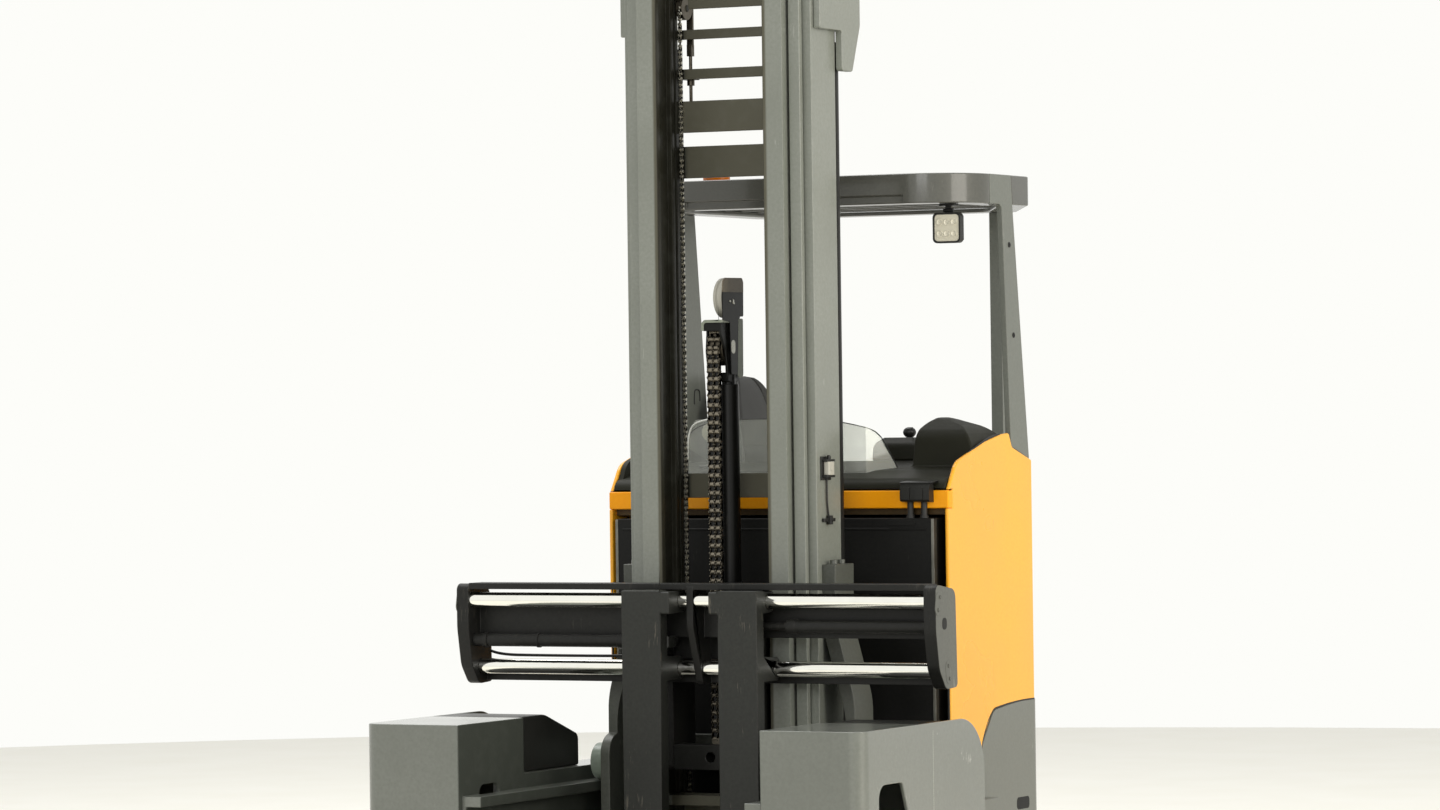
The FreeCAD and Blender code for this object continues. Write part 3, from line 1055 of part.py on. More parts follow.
def shift_cylinder(side):
    """Barrel of the cylinder that moves one fork sideways, held by the end plate."""
    way = SIDES[side]
    x0 = SHIFT_FROM[side]
    x1 = FRAME_HALF - SEAT
    barrel = rod("x", (way * (x0 + x1) / 2, SHIFT_Y, SHIFT_Z[side]), SHIFT_R, x1 - x0)
    gland = rod("x", (way * (x0 + 15), SHIFT_Y, SHIFT_Z[side]), SHIFT_R + 3, 30)
    bore = rod("x", (way * (x0 + x1 - 12) / 2, SHIFT_Y, SHIFT_Z[side]), SHIFT_ROD_R + SLIDE_FIT,
               x1 - x0)
    return join(barrel, gland).cut(bore)


def shift_rod(side):
    way = SIDES[side]
    x0 = SHIFT_LUG[side] - 8
    x1 = SHIFT_ROD_END[side]
    return rod("x", (way * (x0 + x1) / 2, SHIFT_Y, SHIFT_Z[side]), SHIFT_ROD_R, x1 - x0)


def fork(side):
    """L-shaped fork that slides on both bars."""
    x = FORK_X[side]
    inward = -SIDES[side]
    heel = FORK_BOTTOM
    face = FORK_FACE
    profile = [(FORK_TIP, heel + FORK_THICK - 14), (FORK_TIP, heel + FORK_THICK, 5),
               (face, heel + FORK_THICK, 45),
               (face, FORK_TOP), (face + FORK_THICK, FORK_TOP), (face + FORK_THICK, heel, 60),
               (face - 420, heel)]
    shank = outline(profile, "x", x - FORK_WIDTH / 2, x + FORK_WIDTH / 2)
    tip = [(x - 30, FORK_TIP, 20), (x + 30, FORK_TIP, 20), (x + FORK_WIDTH / 2, FORK_TIP + 180),
           (x + FORK_WIDTH / 2, face + 200), (x - FORK_WIDTH / 2, face + 200),
           (x - FORK_WIDTH / 2, FORK_TIP + 180)]
    shank = shank.common(outline(tip, "z", 0, 1000))
    near = x - inward * FORK_WIDTH / 2
    far = x + inward * (FORK_WIDTH / 2 + SLEEVE_EXTRA)
    upper = outline([(face, UPPER_BAR_Z - 36, 6), (face, FORK_TOP - 3, 6),
                     (UPPER_BAR_Y + 34, FORK_TOP - 3, 12),
                     (UPPER_BAR_Y + 34, UPPER_BAR_Z - 31, 20)], "x", min(near, far), max(near, far))
    back = face + FORK_THICK - 2
    lower = outline([(back, LOWER_BAR_Z - 33, 5), (back, LOWER_BAR_Z + 38, 5),
                     (LOWER_BAR_Y + 10, LOWER_BAR_Z + 34, 20),
                     (LOWER_BAR_Y + 28, LOWER_BAR_Z, 20), (LOWER_BAR_Y + 10, LOWER_BAR_Z - 33, 20)],
                    "x", x - FORK_WIDTH / 2, x + FORK_WIDTH / 2)
    lug_x = SIDES[side] * SHIFT_LUG[side]
    lug_z = SHIFT_Z[side]
    lug = outline([(back, lug_z - 16), (back, lug_z + 16),
                   (SHIFT_Y + 16, lug_z + 16, 12), (SHIFT_Y + 16, lug_z - 16, 12)], "x", lug_x - 8,
                  lug_x + 8)
    body = join(shank, upper, lower, lug)
    body = body.cut(rod("x", (x, UPPER_BAR_Y, UPPER_BAR_Z), BAR_R + SLIDE_FIT, 400))
    body = body.cut(rod("x", (x, LOWER_BAR_Y, LOWER_BAR_Z), BAR_R + SLIDE_FIT, 400))
    return body.cut(rod("x", (lug_x, SHIFT_Y, lug_z), SHIFT_ROD_R + FIT, 40))


PARTS["lift_carriage"] = lift_carriage()
PARTS["fork_carriage"] = fork_carriage()
PARTS["fork_bars"] = fork_bars()
PARTS["shift_cylinders"] = group(shift_cylinder("left"), shift_cylinder("right"))
for side in SIDES:
    PARTS["fork_" + side] = fork(side)
    PARTS["shift_rod_" + side] = shift_rod(side)


# ---------------------------------------------------------------- export

os.makedirs("parts", exist_ok=True)
for node, shape in PARTS.items():
    shape = shape.copy()
    shape.translate(V(0, -ORIGIN_Y, 0))
    shape.exportStep("parts/" + node + ".step")
    print(node, len(shape.Solids), "valid" if shape.isValid() else "NOT VALID")
print(len(PARTS), "nodes, origin y", ORIGIN_Y)
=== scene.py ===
# %% [markdown]
# # A four-way reach truck, dressed around its CAD frame
# The truck is mostly sheet steel: painted plates, rolled mast channels, chromed bars and one
# moulded dash.  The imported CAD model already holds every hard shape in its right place, so most
# of the work here is to round its razor edges, give each surface its real finish, and model by
# hand what CAD shows only as plain blocks: the seat, the screen, the chains, lamps and trim.

# %% Load the frame
import bmesh
import bpy
import math
from mathutils import Matrix, Vector


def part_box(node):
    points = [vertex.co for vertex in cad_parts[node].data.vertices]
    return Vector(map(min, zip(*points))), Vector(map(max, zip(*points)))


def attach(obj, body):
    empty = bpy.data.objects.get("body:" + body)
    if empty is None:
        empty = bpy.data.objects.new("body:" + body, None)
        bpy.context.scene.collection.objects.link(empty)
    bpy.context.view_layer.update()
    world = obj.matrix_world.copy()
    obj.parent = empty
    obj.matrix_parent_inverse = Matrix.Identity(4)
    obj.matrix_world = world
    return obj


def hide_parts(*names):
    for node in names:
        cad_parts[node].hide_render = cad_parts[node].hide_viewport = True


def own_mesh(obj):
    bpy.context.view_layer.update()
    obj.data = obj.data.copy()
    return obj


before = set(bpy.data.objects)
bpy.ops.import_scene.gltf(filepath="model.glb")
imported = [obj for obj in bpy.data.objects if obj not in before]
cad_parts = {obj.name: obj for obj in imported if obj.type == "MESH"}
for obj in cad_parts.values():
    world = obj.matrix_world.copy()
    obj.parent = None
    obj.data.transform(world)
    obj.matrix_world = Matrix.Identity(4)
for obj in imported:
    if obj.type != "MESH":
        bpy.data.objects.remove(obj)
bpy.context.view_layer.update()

# %% [markdown]
# ## Small helpers
# Sizes on drawings are in millimetres and Blender counts in metres, so one factor joins them.
# Colours are written as the hex codes a paint chart would give; shaders need linear light, so
# one function converts them.  One more function adds a shader node with its settings and links,
# which keeps every material below readable as a list of what it is made of.

# %% Units, colour and shader nodes
MM = 0.001


def linear(hex_code):
    """Linear RGBA from an sRGB hex code."""
    parts = [int(hex_code[i:i + 2], 16) / 255 for i in (1, 3, 5)]
    return [c / 12.92 if c <= 0.04045 else ((c + 0.055) / 1.055) ** 2.4 for c in parts] + [1.0]


def add(tree, kind, inputs=None, **settings):
    """Adds a node; inputs maps a socket to a value or to another node's socket."""
    node = tree.nodes.new(kind)
    for key, value in settings.items():
        setattr(node, key, value)
    for key, value in (inputs or {}).items():
        if isinstance(value, bpy.types.NodeSocket):
            tree.links.new(value, node.inputs[key])
        else:
            node.inputs[key].default_value = value
    return node


def new_tree(name):
    """An empty material and its node tree."""
    material = bpy.data.materials.new(name)
    material.use_nodes = True
    material.node_tree.nodes.clear()
    return material, material.node_tree


# %% [markdown]
# ## Floor, light and camera
# The truck stands in a bright hall with white walls, so nearly all its light is soft and comes
# from everywhere, with more from the entry side.  A white world does the walls' work, and three
# large area lights do that of windows and roof lights, the strongest on the entry side, where the
# flank is brighter.  The floor is a wide pale disc.  The camera uses a long lens, far away, which
# keeps the mast's edges almost parallel.

# %% Floor
FLOOR_RADIUS = 9.6      # metres, wide enough to reach past the view on every side
FLOOR_SIDES = 96        # corners of the disc, enough for a smooth horizon
floor_mesh = bpy.data.meshes.new("hall_floor")
floor_bm = bmesh.new()
bmesh.ops.create_circle(floor_bm, cap_ends=True, radius=FLOOR_RADIUS, segments=FLOOR_SIDES)
floor_bm.to_mesh(floor_mesh)
floor_bm.free()
floor = bpy.data.objects.new("hall_floor", floor_mesh)
bpy.context.scene.collection.objects.link(floor)
# Sealed concrete is power-floated, so its cement clouds in patches about a third of a metre wide.
CLOUDS_PER_METRE = 3.0
material, tree = new_tree("sealed_concrete")
spots = add(tree, "ShaderNodeTexNoise", {"Vector": add(tree, "ShaderNodeTexCoord").outputs["Object"],
                                         "Scale": CLOUDS_PER_METRE, "Detail": 6.0})
tone = add(tree, "ShaderNodeMix", {0: spots.outputs["Fac"], 6: linear("#efece0"), 7: linear("#f8f6ee")},
           data_type="RGBA")
shader = add(tree, "ShaderNodeBsdfPrincipled", {"Base Color": tone.outputs[2], "Roughness": 0.35})
add(tree, "ShaderNodeOutputMaterial", {"Surface": shader.outputs["BSDF"]})
floor_mesh.materials.append(material)
print("floor disc", 2 * FLOOR_RADIUS, "m across")

# %% White hall
# What is seen of the walls, directly or mirrored in paint and chrome, is full white; what they
# add as soft light is less, so that recesses stay dark.
WALL_LIGHT = 0.62
world = bpy.data.worlds.new("white_hall")
bpy.context.scene.world = world
world.use_nodes = True
world.node_tree.nodes.clear()
wtree = world.node_tree
seen = add(wtree, "ShaderNodeLightPath")
mirrored = add(wtree, "ShaderNodeMath",
               {0: seen.outputs["Is Camera Ray"], 1: seen.outputs["Is Glossy Ray"]}, operation="MAXIMUM")
strength = add(wtree, "ShaderNodeMix", {0: mirrored.outputs[0], 2: WALL_LIGHT, 3: 1.0})
sky = add(wtree, "ShaderNodeBackground", {"Color": linear("#fdfdf9"), "Strength": strength.outputs[0]})
add(wtree, "ShaderNodeOutputWorld", {"Surface": sky.outputs[0]})
print("walls at", WALL_LIGHT, "of white")


# %% Windows and roof light
def area_light(name, place, aim, size, watts, hex_code):
    """A square soft light that faces one point."""
    data = bpy.data.lights.new(name, "AREA")
    data.size = size
    data.energy = watts
    data.color = linear(hex_code)[:3]
    lamp = bpy.data.objects.new(name, data)
    lamp.location = place
    lamp.rotation_euler = (Vector(aim) - Vector(place)).to_track_quat("-Z", "Y").to_euler()
    bpy.context.scene.collection.objects.link(lamp)
    print(name, watts, "W")


area_light("entry_side_window", (9.5, -1.5, 3.6), (0, 0.6, 1.1), 5.0, 490, "#fffaf0")
area_light("front_window", (2.5, -11.0, 4.6), (0, 0, 1.2), 4.0, 300, "#ffffff")
area_light("roof_light", (-2.0, 1.0, 7.5), (0, 0, 1.0), 5.0, 380, "#ffffff")

# %% Camera
CAMERA_PLACE = (7.167, -13.9045, 1.4995)    # metres
CAMERA_TURN = math.radians(27.30)           # round the upright, towards the entry side
CAMERA_PITCH = 0.0008                       # radians, upwards
CAMERA_ROLL = 0.0132                        # radians
LENS_MM = 135.1                             # focal length
SENSOR_MM = 36.0                            # sensor width
right = Vector((math.cos(CAMERA_TURN), math.sin(CAMERA_TURN), 0))
ahead = Vector((-math.sin(CAMERA_TURN), math.cos(CAMERA_TURN), math.sin(CAMERA_PITCH))).normalized()
up = right.cross(ahead)
turned_right = right * math.cos(CAMERA_ROLL) - up * math.sin(CAMERA_ROLL)
turned_up = up * math.cos(CAMERA_ROLL) + right * math.sin(CAMERA_ROLL)
camera_data = bpy.data.cameras.new("long_lens")
camera_data.lens = LENS_MM
camera_data.sensor_width = SENSOR_MM
camera = bpy.data.objects.new("long_lens", camera_data)
axes = Matrix((turned_right, turned_up, -ahead)).transposed()
camera.matrix_world = Matrix.Translation(CAMERA_PLACE) @ axes.to_4x4()
bpy.context.scene.collection.objects.link(camera)
bpy.context.scene.camera = camera
bpy.context.scene.view_settings.view_transform = "Standard"
print("lens", LENS_MM, "mm at", round(Vector(CAMERA_PLACE).length, 1), "m")

# %% [markdown]
# ## Grease and painted shade on the mast and legs
# Chains, rollers and ram rods throw lubricant and dust sticks to it: a thin brown veil of grease lies
# on whatever stands between the uprights.  Faces that look at the middle, and the recess behind the
# nested channels, are darkened almost to black as grease and painted shade; on the legs the same
# darkening of the inner faces is painted shade alone.  It could be painted by hand on each channel;
# here the place of a point and the way its face looks decide, because that is what decides on the
# real mast, and it holds for all three stages.

# %% Where grease and painted shade lie
MIDDLE_EDGE = 0.180     # metres from the middle plane, within which the veil is full
MIDDLE_WIDE = 0.186     # metres, beyond which there is none
NEST_WIDE = 0.262       # metres from the middle plane to the side of the nested channels
# The recess behind NEST_FRONT is darkened as grease and painted shade.
NEST_FRONT = 0.03       # y in metres, behind which their recess is caked
NEST_FADE = 0.004       # width of that recess's soft edge
GREASE_BLOT_MM = 45     # blots of thrown grease


def grease_and_shade(tree, place, clean, greasy, caked_shade):
    """A grease veil and a darker painted shade over the clean colour; returns the colour and how much of it
    is covered.
    """
    parts = add(tree, "ShaderNodeSeparateXYZ", {"Vector": place})
    split = parts.outputs["X"]
    facing = add(tree, "ShaderNodeSeparateXYZ",
                 {"Vector": add(tree, "ShaderNodeNewGeometry").outputs["True Normal"]}).outputs["X"]
    side = add(tree, "ShaderNodeMath", {0: split}, operation="SIGN")
    inward = add(tree, "ShaderNodeMath", {0: side.outputs[0], 1: facing}, operation="MULTIPLY")
    turned_in_shade = add(tree, "ShaderNodeMapRange", {0: inward.outputs[0], 1: -0.5, 2: -0.2, 3: 1.0, 4: 0.0})
    apart = add(tree, "ShaderNodeMath", {0: split}, operation="ABSOLUTE")
    between = add(tree, "ShaderNodeMapRange",
                  {0: apart.outputs[0], 1: MIDDLE_EDGE, 2: MIDDLE_WIDE, 3: 1.0, 4: 0.0})
    blots = add(tree, "ShaderNodeTexNoise",
                {"Vector": place, "Scale": 1 / (GREASE_BLOT_MM * MM), "Detail": 5.0})
    patchy = add(tree, "ShaderNodeMapRange", {0: blots.outputs["Fac"], 1: 0.25, 2: 0.5, 3: 0.92, 4: 0.99})
    thin = add(tree, "ShaderNodeMath", {0: between.outputs[0], 1: patchy.outputs[0]}, operation="MULTIPLY")
    nested = add(tree, "ShaderNodeMapRange",
                 {0: apart.outputs[0], 1: NEST_WIDE, 2: NEST_WIDE + NEST_FADE, 3: 1.0, 4: 0.0})
    behind = add(tree, "ShaderNodeMapRange",
                 {0: parts.outputs["Y"], 1: NEST_FRONT, 2: NEST_FRONT + NEST_FADE})
    outside = add(tree, "ShaderNodeMath", {0: 1.0, 1: between.outputs[0]}, operation="SUBTRACT")
    recess = add(tree, "ShaderNodeMath", {0: nested.outputs[0], 1: behind.outputs[0]}, operation="MULTIPLY")
    deep = add(tree, "ShaderNodeMath", {0: recess.outputs[0], 1: outside.outputs[0]}, operation="MULTIPLY")
    either = add(tree, "ShaderNodeMath", {0: turned_in_shade.outputs[0], 1: deep.outputs[0]}, operation="MAXIMUM")
    thick = add(tree, "ShaderNodeMath", {0: either.outputs[0], 1: patchy.outputs[0]}, operation="MULTIPLY")
    veiled = add(tree, "ShaderNodeMix", {0: thin.outputs[0], 6: clean, 7: linear(greasy)}, data_type="RGBA")
    covered = add(tree, "ShaderNodeMix", {0: thick.outputs[0], 6: veiled.outputs[2], 7: linear(caked_shade)},
                  data_type="RGBA")
    film_and_shade = add(tree, "ShaderNodeMath", {0: thin.outputs[0], 1: thick.outputs[0]}, operation="MAXIMUM")
    return covered.outputs[2], film_and_shade.outputs[0]


# %% [markdown]
# ## Paint
# Most of the truck is painted steel, sprayed and baked.  Close up such paint is never flat: the
# film has a fine orange peel, the tone drifts a little across a panel, and handling leaves thin
# scuffs.  One recipe makes them all, with a real size for each of these in millimetres.

# %% Painted steel
DRIFT_MM = 320          # slow change of tone across a panel
MOTTLE_MM = 9           # fine mottle of the film
SCUFF_MM = 7            # width of one rub mark
SCUFF_STRETCH = (1.0, 0.35, 0.12)   # rub marks run upright and a little to the rear
RUBBED_AREA_MM = 140    # marks come in patches of this size
PEEL_MM = 2.2           # orange peel
PEEL_DEPTH_MM = 0.2     # and its depth, drawn deeper than real so that it shows
COAT_ROUGH = 0.12       # clear skin that the baked resin forms on top
# Where grease and painted shade cover the paint, its specular level drops to this.
FILM_AND_SHADE_SHINE = 0.12     # specular level left under grease


def painted(name, base, deep, rough, scuff=None, scuff_share=0.0, coat=0.0, film_and_shade=None, sheen=0.5):
    """Baked paint: base and deep are the light and dark tone, scuff the colour under a rub mark.

    film_and_shade holds two colours: the grease veil that chains and rollers leave between the uprights,
    and the painted shade on faces that look at the middle and in the nested recess; both also dull the
    paint.
    """
    material, tree = new_tree(name)
    place = add(tree, "ShaderNodeTexCoord").outputs["Object"]
    drift = add(tree, "ShaderNodeTexNoise", {"Vector": place, "Scale": 1 / (DRIFT_MM * MM), "Detail": 3.0})
    fine = add(tree, "ShaderNodeTexNoise", {"Vector": place, "Scale": 1 / (MOTTLE_MM * MM), "Detail": 4.0})
    both = add(tree, "ShaderNodeMath", {0: drift.outputs["Fac"], 1: fine.outputs["Fac"]},
               operation="MULTIPLY")
    spread = add(tree, "ShaderNodeMapRange", {0: both.outputs[0], 1: 0.12, 2: 0.42})
    colour = add(tree, "ShaderNodeMix", {0: spread.outputs[0], 6: linear(deep), 7: linear(base)},
                 data_type="RGBA").outputs[2]
    gloss = add(tree, "ShaderNodeMapRange", {0: drift.outputs["Fac"], 1: 0.3, 2: 0.7,
                                             3: rough - 0.05, 4: rough + 0.07}).outputs[0]
    if scuff:
        stretched = add(tree, "ShaderNodeMapping", {"Vector": place, "Scale": SCUFF_STRETCH})
        marks = add(tree, "ShaderNodeTexNoise",
                    {"Vector": stretched.outputs[0], "Scale": 1 / (SCUFF_MM * MM), "Detail": 5.0,
                     "Roughness": 0.7})
        areas = add(tree, "ShaderNodeTexNoise",
                    {"Vector": place, "Scale": 1 / (RUBBED_AREA_MM * MM), "Detail": 2.0})
        joined = add(tree, "ShaderNodeMath", {0: marks.outputs["Fac"], 1: areas.outputs["Fac"]},
                     operation="MULTIPLY")
        mask = add(tree, "ShaderNodeMapRange",
                   {0: joined.outputs[0], 1: 0.41 - scuff_share, 2: 0.46 - scuff_share, 4: 0.75})
        colour = add(tree, "ShaderNodeMix", {0: mask.outputs[0], 6: colour, 7: linear(scuff)},
                     data_type="RGBA").outputs[2]
    if film_and_shade:
        colour, cover = grease_and_shade(tree, place, colour, *film_and_shade)
        sheen = add(tree, "ShaderNodeMapRange", {0: cover, 3: sheen, 4: FILM_AND_SHADE_SHINE}).outputs[0]
        coat = add(tree, "ShaderNodeMapRange", {0: cover, 3: coat, 4: 0.0}).outputs[0]
    skin = add(tree, "ShaderNodeTexNoise", {"Vector": place, "Scale": 1 / (PEEL_MM * MM), "Detail": 1.0})
    relief = add(tree, "ShaderNodeBump",
                 {"Height": skin.outputs["Fac"], "Strength": 0.05, "Distance": PEEL_DEPTH_MM * MM})
    shader = add(tree, "ShaderNodeBsdfPrincipled",
                 {"Base Color": colour, "Roughness": gloss, "Normal": relief.outputs[0],
                  "Specular IOR Level": sheen, "Coat Weight": coat, "Coat Roughness": COAT_ROUGH})
    add(tree, "ShaderNodeOutputMaterial", {"Surface": shader.outputs["BSDF"]})
    return material


# %% Greys of the legs, chassis, mast and guard
# Powder coat, sprayed dry and baked on folded plate: a thick skin that mirrors the hall softly.
# Its faces that look at the middle are painted darker as shade.
LEG_GREY = painted("grey_powder_coat", "#6e716a", "#63665e", 0.34, scuff="#a3a59c", scuff_share=0.02,
                   coat=0.8, film_and_shade=("#3c3f3a", "#3c3f3a"))
# The chassis has a darker batch of the same coat, with less of a skin.
BODY_GREY = painted("grey_powder_coat_body", "#666860", "#5e6057", 0.38, scuff="#93958b", coat=0.4)
# Wet enamel on rolled channels: light and even outside, and the only coat that grease veils.
# Faces that look at the middle and the nested recess are darkened as grease and painted shade.
MAST_GREY = painted("mast_paint", "#84877f", "#787b72", 0.36, scuff="#969890", coat=0.3,
                    film_and_shade=("#5a584c", "#2b2a22"))
# The roof's frame is coated dark and satin, so that it does not dazzle whoever looks up through it.
ROOF_GREY = painted("dark_grey_powder_coat", "#4a4a43", "#42423c", 0.4, scuff="#5b5b53", coat=0.5)
# Plain enamel without a coat: the posts shine less than the legs.
POST_GREY = painted("grey_post_enamel", "#6c6f68", "#62655e", 0.36, scuff="#7c7e77")
# Low on the truck the same enamel is painted darker, as the shade that it stands in.
CARRIAGE_SHADE_GREY = painted("reach_carriage_painted_shade", "#52544d", "#464841", 0.4, scuff="#6c6e66",
                        scuff_share=0.02)
# A weld bead is painted over thickly, and its ripples catch the light: the bead is painted
# lighter than the legs as that highlight.
BEAD_HIGHLIGHT_GREY = painted("weld_bead_painted_highlight", "#aaaca3", "#9a9c93", 0.35, coat=0.6)

# %% Yellows of the panels and the band
# Two-pack enamel on pressed panels: saturated and glossy, and a rub turns it deeper, not paler.
YELLOW = painted("orange_yellow_enamel", "#fbb321", "#f5aa18", 0.30, scuff="#eaa11a", scuff_share=-0.02,
                 coat=0.25)
# The band over the battery is a shade redder and has lost its gloss.
BAND_ORANGE = painted("orange_band_enamel", "#ffab16", "#fba10c", 0.34, scuff="#ee930e", scuff_share=-0.02,
                      sheen=0.2)
# Its rear lip lies in the dash's shade, and that shade is painted on it as a dull dark brown.
BAND_LIP_SHADE = painted("orange_lip_painted_shade", "#4c3c22", "#3f311b", 0.5, sheen=0.2)

# %% Blacks of the carriage, forks and battery
# Satin enamel on castings and barrels, with grey rubs on the edges that people touch.
BLACK = painted("black_satin_enamel", "#20201e", "#181816", 0.42, scuff="#3a3833", scuff_share=0.03,
                sheen=0.25)
# The same enamel wet with oil is the deepest black on the truck.
OILY_BLACK = painted("oily_black_enamel", "#131311", "#0c0c0a", 0.35, scuff="#2c2b27", scuff_share=0.02,
                     sheen=0.2)
# Forged forks are dipped in enamel, and loads rub it brown.
FORK_BLACK = painted("fork_black_enamel", "#2a2b27", "#1f201d", 0.46, scuff="#5a554c", scuff_share=0.05,
                     sheen=0.35)
# The battery's trough has a flat coat that resists acid and hardly shines.
BATTERY_BLACK = painted("acid_proof_black_coat", "#181816", "#10100f", 0.5, scuff="#2c2c28",
                        scuff_share=0.02, sheen=0.2)
# End plates are worn down to a dark grey.
EDGE_PLATE = painted("worn_black_enamel", "#5c5d56", "#4d4e48", 0.4, scuff="#76766e", scuff_share=0.03)

# %% Coats of the small parts
# Etching primer left without a top coat: pale, flat and faintly green.
GREY_GREEN = painted("grey_green_primer", "#8d9284", "#7c8174", 0.4, scuff="#a4a89a", scuff_share=0.02,
                     sheen=0.3)
# Clear lacquer over oily steel ages to an olive brown.
OLIVE = painted("olive_brown_lacquer", "#6f6555", "#5f5748", 0.4, scuff="#8b8373", scuff_share=0.02,
                sheen=0.3)
# The cut edge of a clear sheet gathers the light of its whole width and shows as a white line,
# which is painted on as a white highlight.
SHEET_EDGE_HIGHLIGHT = painted("sheet_edge_painted_highlight", "#f6f7f2", "#eceee8", 0.25)
# A hot phosphate bath turns steel grey green and leaves it smooth, with a little oil on top.
ROLLER_GREY = painted("phosphated_roller_steel", "#828c80", "#727c70", 0.35, coat=0.2)
print(len(bpy.data.materials), "materials so far")

# %% [markdown]
# ## Bare metals
# The two fork bars are hard-chromed: a mirror with very fine polishing rings.  Chains, rods and
# hubs are bare steel, oiled or dry.  A metal has no colour under its shine, so its tone is its
# reflection, and the grain that grinding or rolling leaves is drawn out along one axis.

# %% Bare steel and chrome
STAIN_MM = 60           # oil and finger stains


def bare_metal(name, base, deep, rough, grain_mm, stretch, relief_mm=0.02):
    """Metal with a grain that runs along one axis."""
    material, tree = new_tree(name)
    place = add(tree, "ShaderNodeTexCoord").outputs["Object"]
    along = add(tree, "ShaderNodeMapping", {"Vector": place, "Scale": stretch})
    grain = add(tree, "ShaderNodeTexNoise", {"Vector": along.outputs[0], "Scale": 1 / (grain_mm * MM),
                                             "Detail": 4.0, "Roughness": 0.65})
    stain = add(tree, "ShaderNodeTexNoise", {"Vector": place, "Scale": 1 / (STAIN_MM * MM), "Detail": 3.0})
    tone = add(tree, "ShaderNodeMix", {0: stain.outputs["Fac"], 6: linear(deep), 7: linear(base)},
               data_type="RGBA")
    gloss = add(tree, "ShaderNodeMapRange", {0: grain.outputs["Fac"], 1: 0.3, 2: 0.7,
                                             3: rough * 0.7, 4: rough * 1.4})
    bump = add(tree, "ShaderNodeBump", {"Height": grain.outputs["Fac"], "Strength": 0.25,
                                        "Distance": relief_mm * MM})
    shader = add(tree, "ShaderNodeBsdfPrincipled",
                 {"Base Color": tone.outputs[2], "Metallic": 1.0, "Roughness": gloss.outputs[0],
                  "Normal": bump.outputs[0]})
    add(tree, "ShaderNodeOutputMaterial", {"Surface": shader.outputs["BSDF"]})
    return material


# Roller chain that runs nearly dry: brown and grey, with plates scoured by the wheel.
RUSTY = bare_metal("dry_chain_steel", "#968f82", "#625c50", 0.46, 4.0, (1.0, 1.0, 1.0), 0.12)
# Leaf chain, wiped clean: its stacked plate edges are pale.
DRY_LEAVES = bare_metal("leaf_chain_steel", "#dedbd0", "#b3b0a3", 0.4, 3.0, (1.0, 1.0, 1.0), 0.1)
# Edges that sliding batteries have rubbed bare, streaked upright.
WORN_EDGE = bare_metal("worn_steel_edge", "#8f8e86", "#5f5e58", 0.4, 5.0, (1.0, 1.0, 0.3), 0.1)
# Ground, plated and polished round and round.  The real lines are some hundredths of a
# millimetre apart and would not show, so they are drawn at 1.5 mm.
CHROME = bare_metal("hard_chrome", "#fdfcf6", "#efeee6", 0.10, 1.5, (6.0, 1.0, 1.0))
# Steel under a film of oil, dark and smooth.
OILED = bare_metal("oiled_chain_steel", "#6d675b", "#453f36", 0.42, 3.0, (1.0, 1.0, 1.0), 0.1)
# Turned on a lathe: bright, with tool lines drawn coarser than the real ones.
BRIGHT_STEEL = bare_metal("turned_steel", "#b9b8b0", "#97958b", 0.28, 2.0, (1.0, 1.0, 4.0))
print(len(bpy.data.materials), "materials so far")

# %% [markdown]
# ## Moulded plastics and rubber
# ABS covers have a moulded-in leather grain that kills the shine; cast polyurethane tyres are
# brown and slightly waxy; clear covers are polycarbonate.  Voronoi cells give the pebbles of such
# a grain.  The finest real ones are half a millimetre wide and would not show, so no grain is
# drawn finer than 1.6 mm.

# %% Plastics
SHADE_MM = 170          # slow change of tone where the melt has cooled at its own pace


def moulded(name, base, deep, rough, grain_mm=1.6, relief_mm=0.12, relief=0.5, **extra):
    """Moulded plastic or rubber with a fine cell-like grain."""
    material, tree = new_tree(name)
    place = add(tree, "ShaderNodeTexCoord").outputs["Object"]
    cells = add(tree, "ShaderNodeTexVoronoi", {"Vector": place, "Scale": 1 / (grain_mm * MM)})
    drift = add(tree, "ShaderNodeTexNoise", {"Vector": place, "Scale": 1 / (SHADE_MM * MM), "Detail": 3.0})
    tone = add(tree, "ShaderNodeMix", {0: drift.outputs["Fac"], 6: linear(deep), 7: linear(base)},
               data_type="RGBA")
    bump = add(tree, "ShaderNodeBump", {"Height": cells.outputs["Distance"], "Strength": relief,
                                        "Distance": relief_mm * MM})
    gloss = add(tree, "ShaderNodeMapRange", {0: drift.outputs["Fac"], 1: 0.3, 2: 0.7,
                                             3: rough - 0.05, 4: rough + 0.06})
    shader = add(tree, "ShaderNodeBsdfPrincipled",
                 {"Base Color": tone.outputs[2], "Roughness": gloss.outputs[0], "Normal": bump.outputs[0],
                  **extra})
    add(tree, "ShaderNodeOutputMaterial", {"Surface": shader.outputs["BSDF"]})
    return material


# Dash and consoles: ABS from an etched tool, whose grain scatters the light to a flat black.
GRAINED_BLACK = moulded("grained_abs_black", "#232319", "#1b1b13", 0.5, **{"Specular IOR Level": 0.15})
# Housings and caps from a polished tool, which keep some shine.
SMOOTH_BLACK = moulded("smooth_abs_black", "#232321", "#1b1b19", 0.35, grain_mm=3.0, relief=0.1,
                       **{"Specular IOR Level": 0.3})
# Extruded edging and pressed boots: matt, as rubber blooms.
RUBBER = moulded("black_rubber", "#20201e", "#171715", 0.6, grain_mm=2.5)
# Tyres are poured and turned to size, brown and waxy.
POLYURETHANE = moulded("cast_polyurethane", "#6b4526", "#573618", 0.4, grain_mm=6.0, relief=0.15)
# Cast wheels of the hoses, the colour of bone.
POLYAMIDE = moulded("cast_polyamide", "#b9b6ab", "#a7a498", 0.45, grain_mm=4.0, relief=0.15)
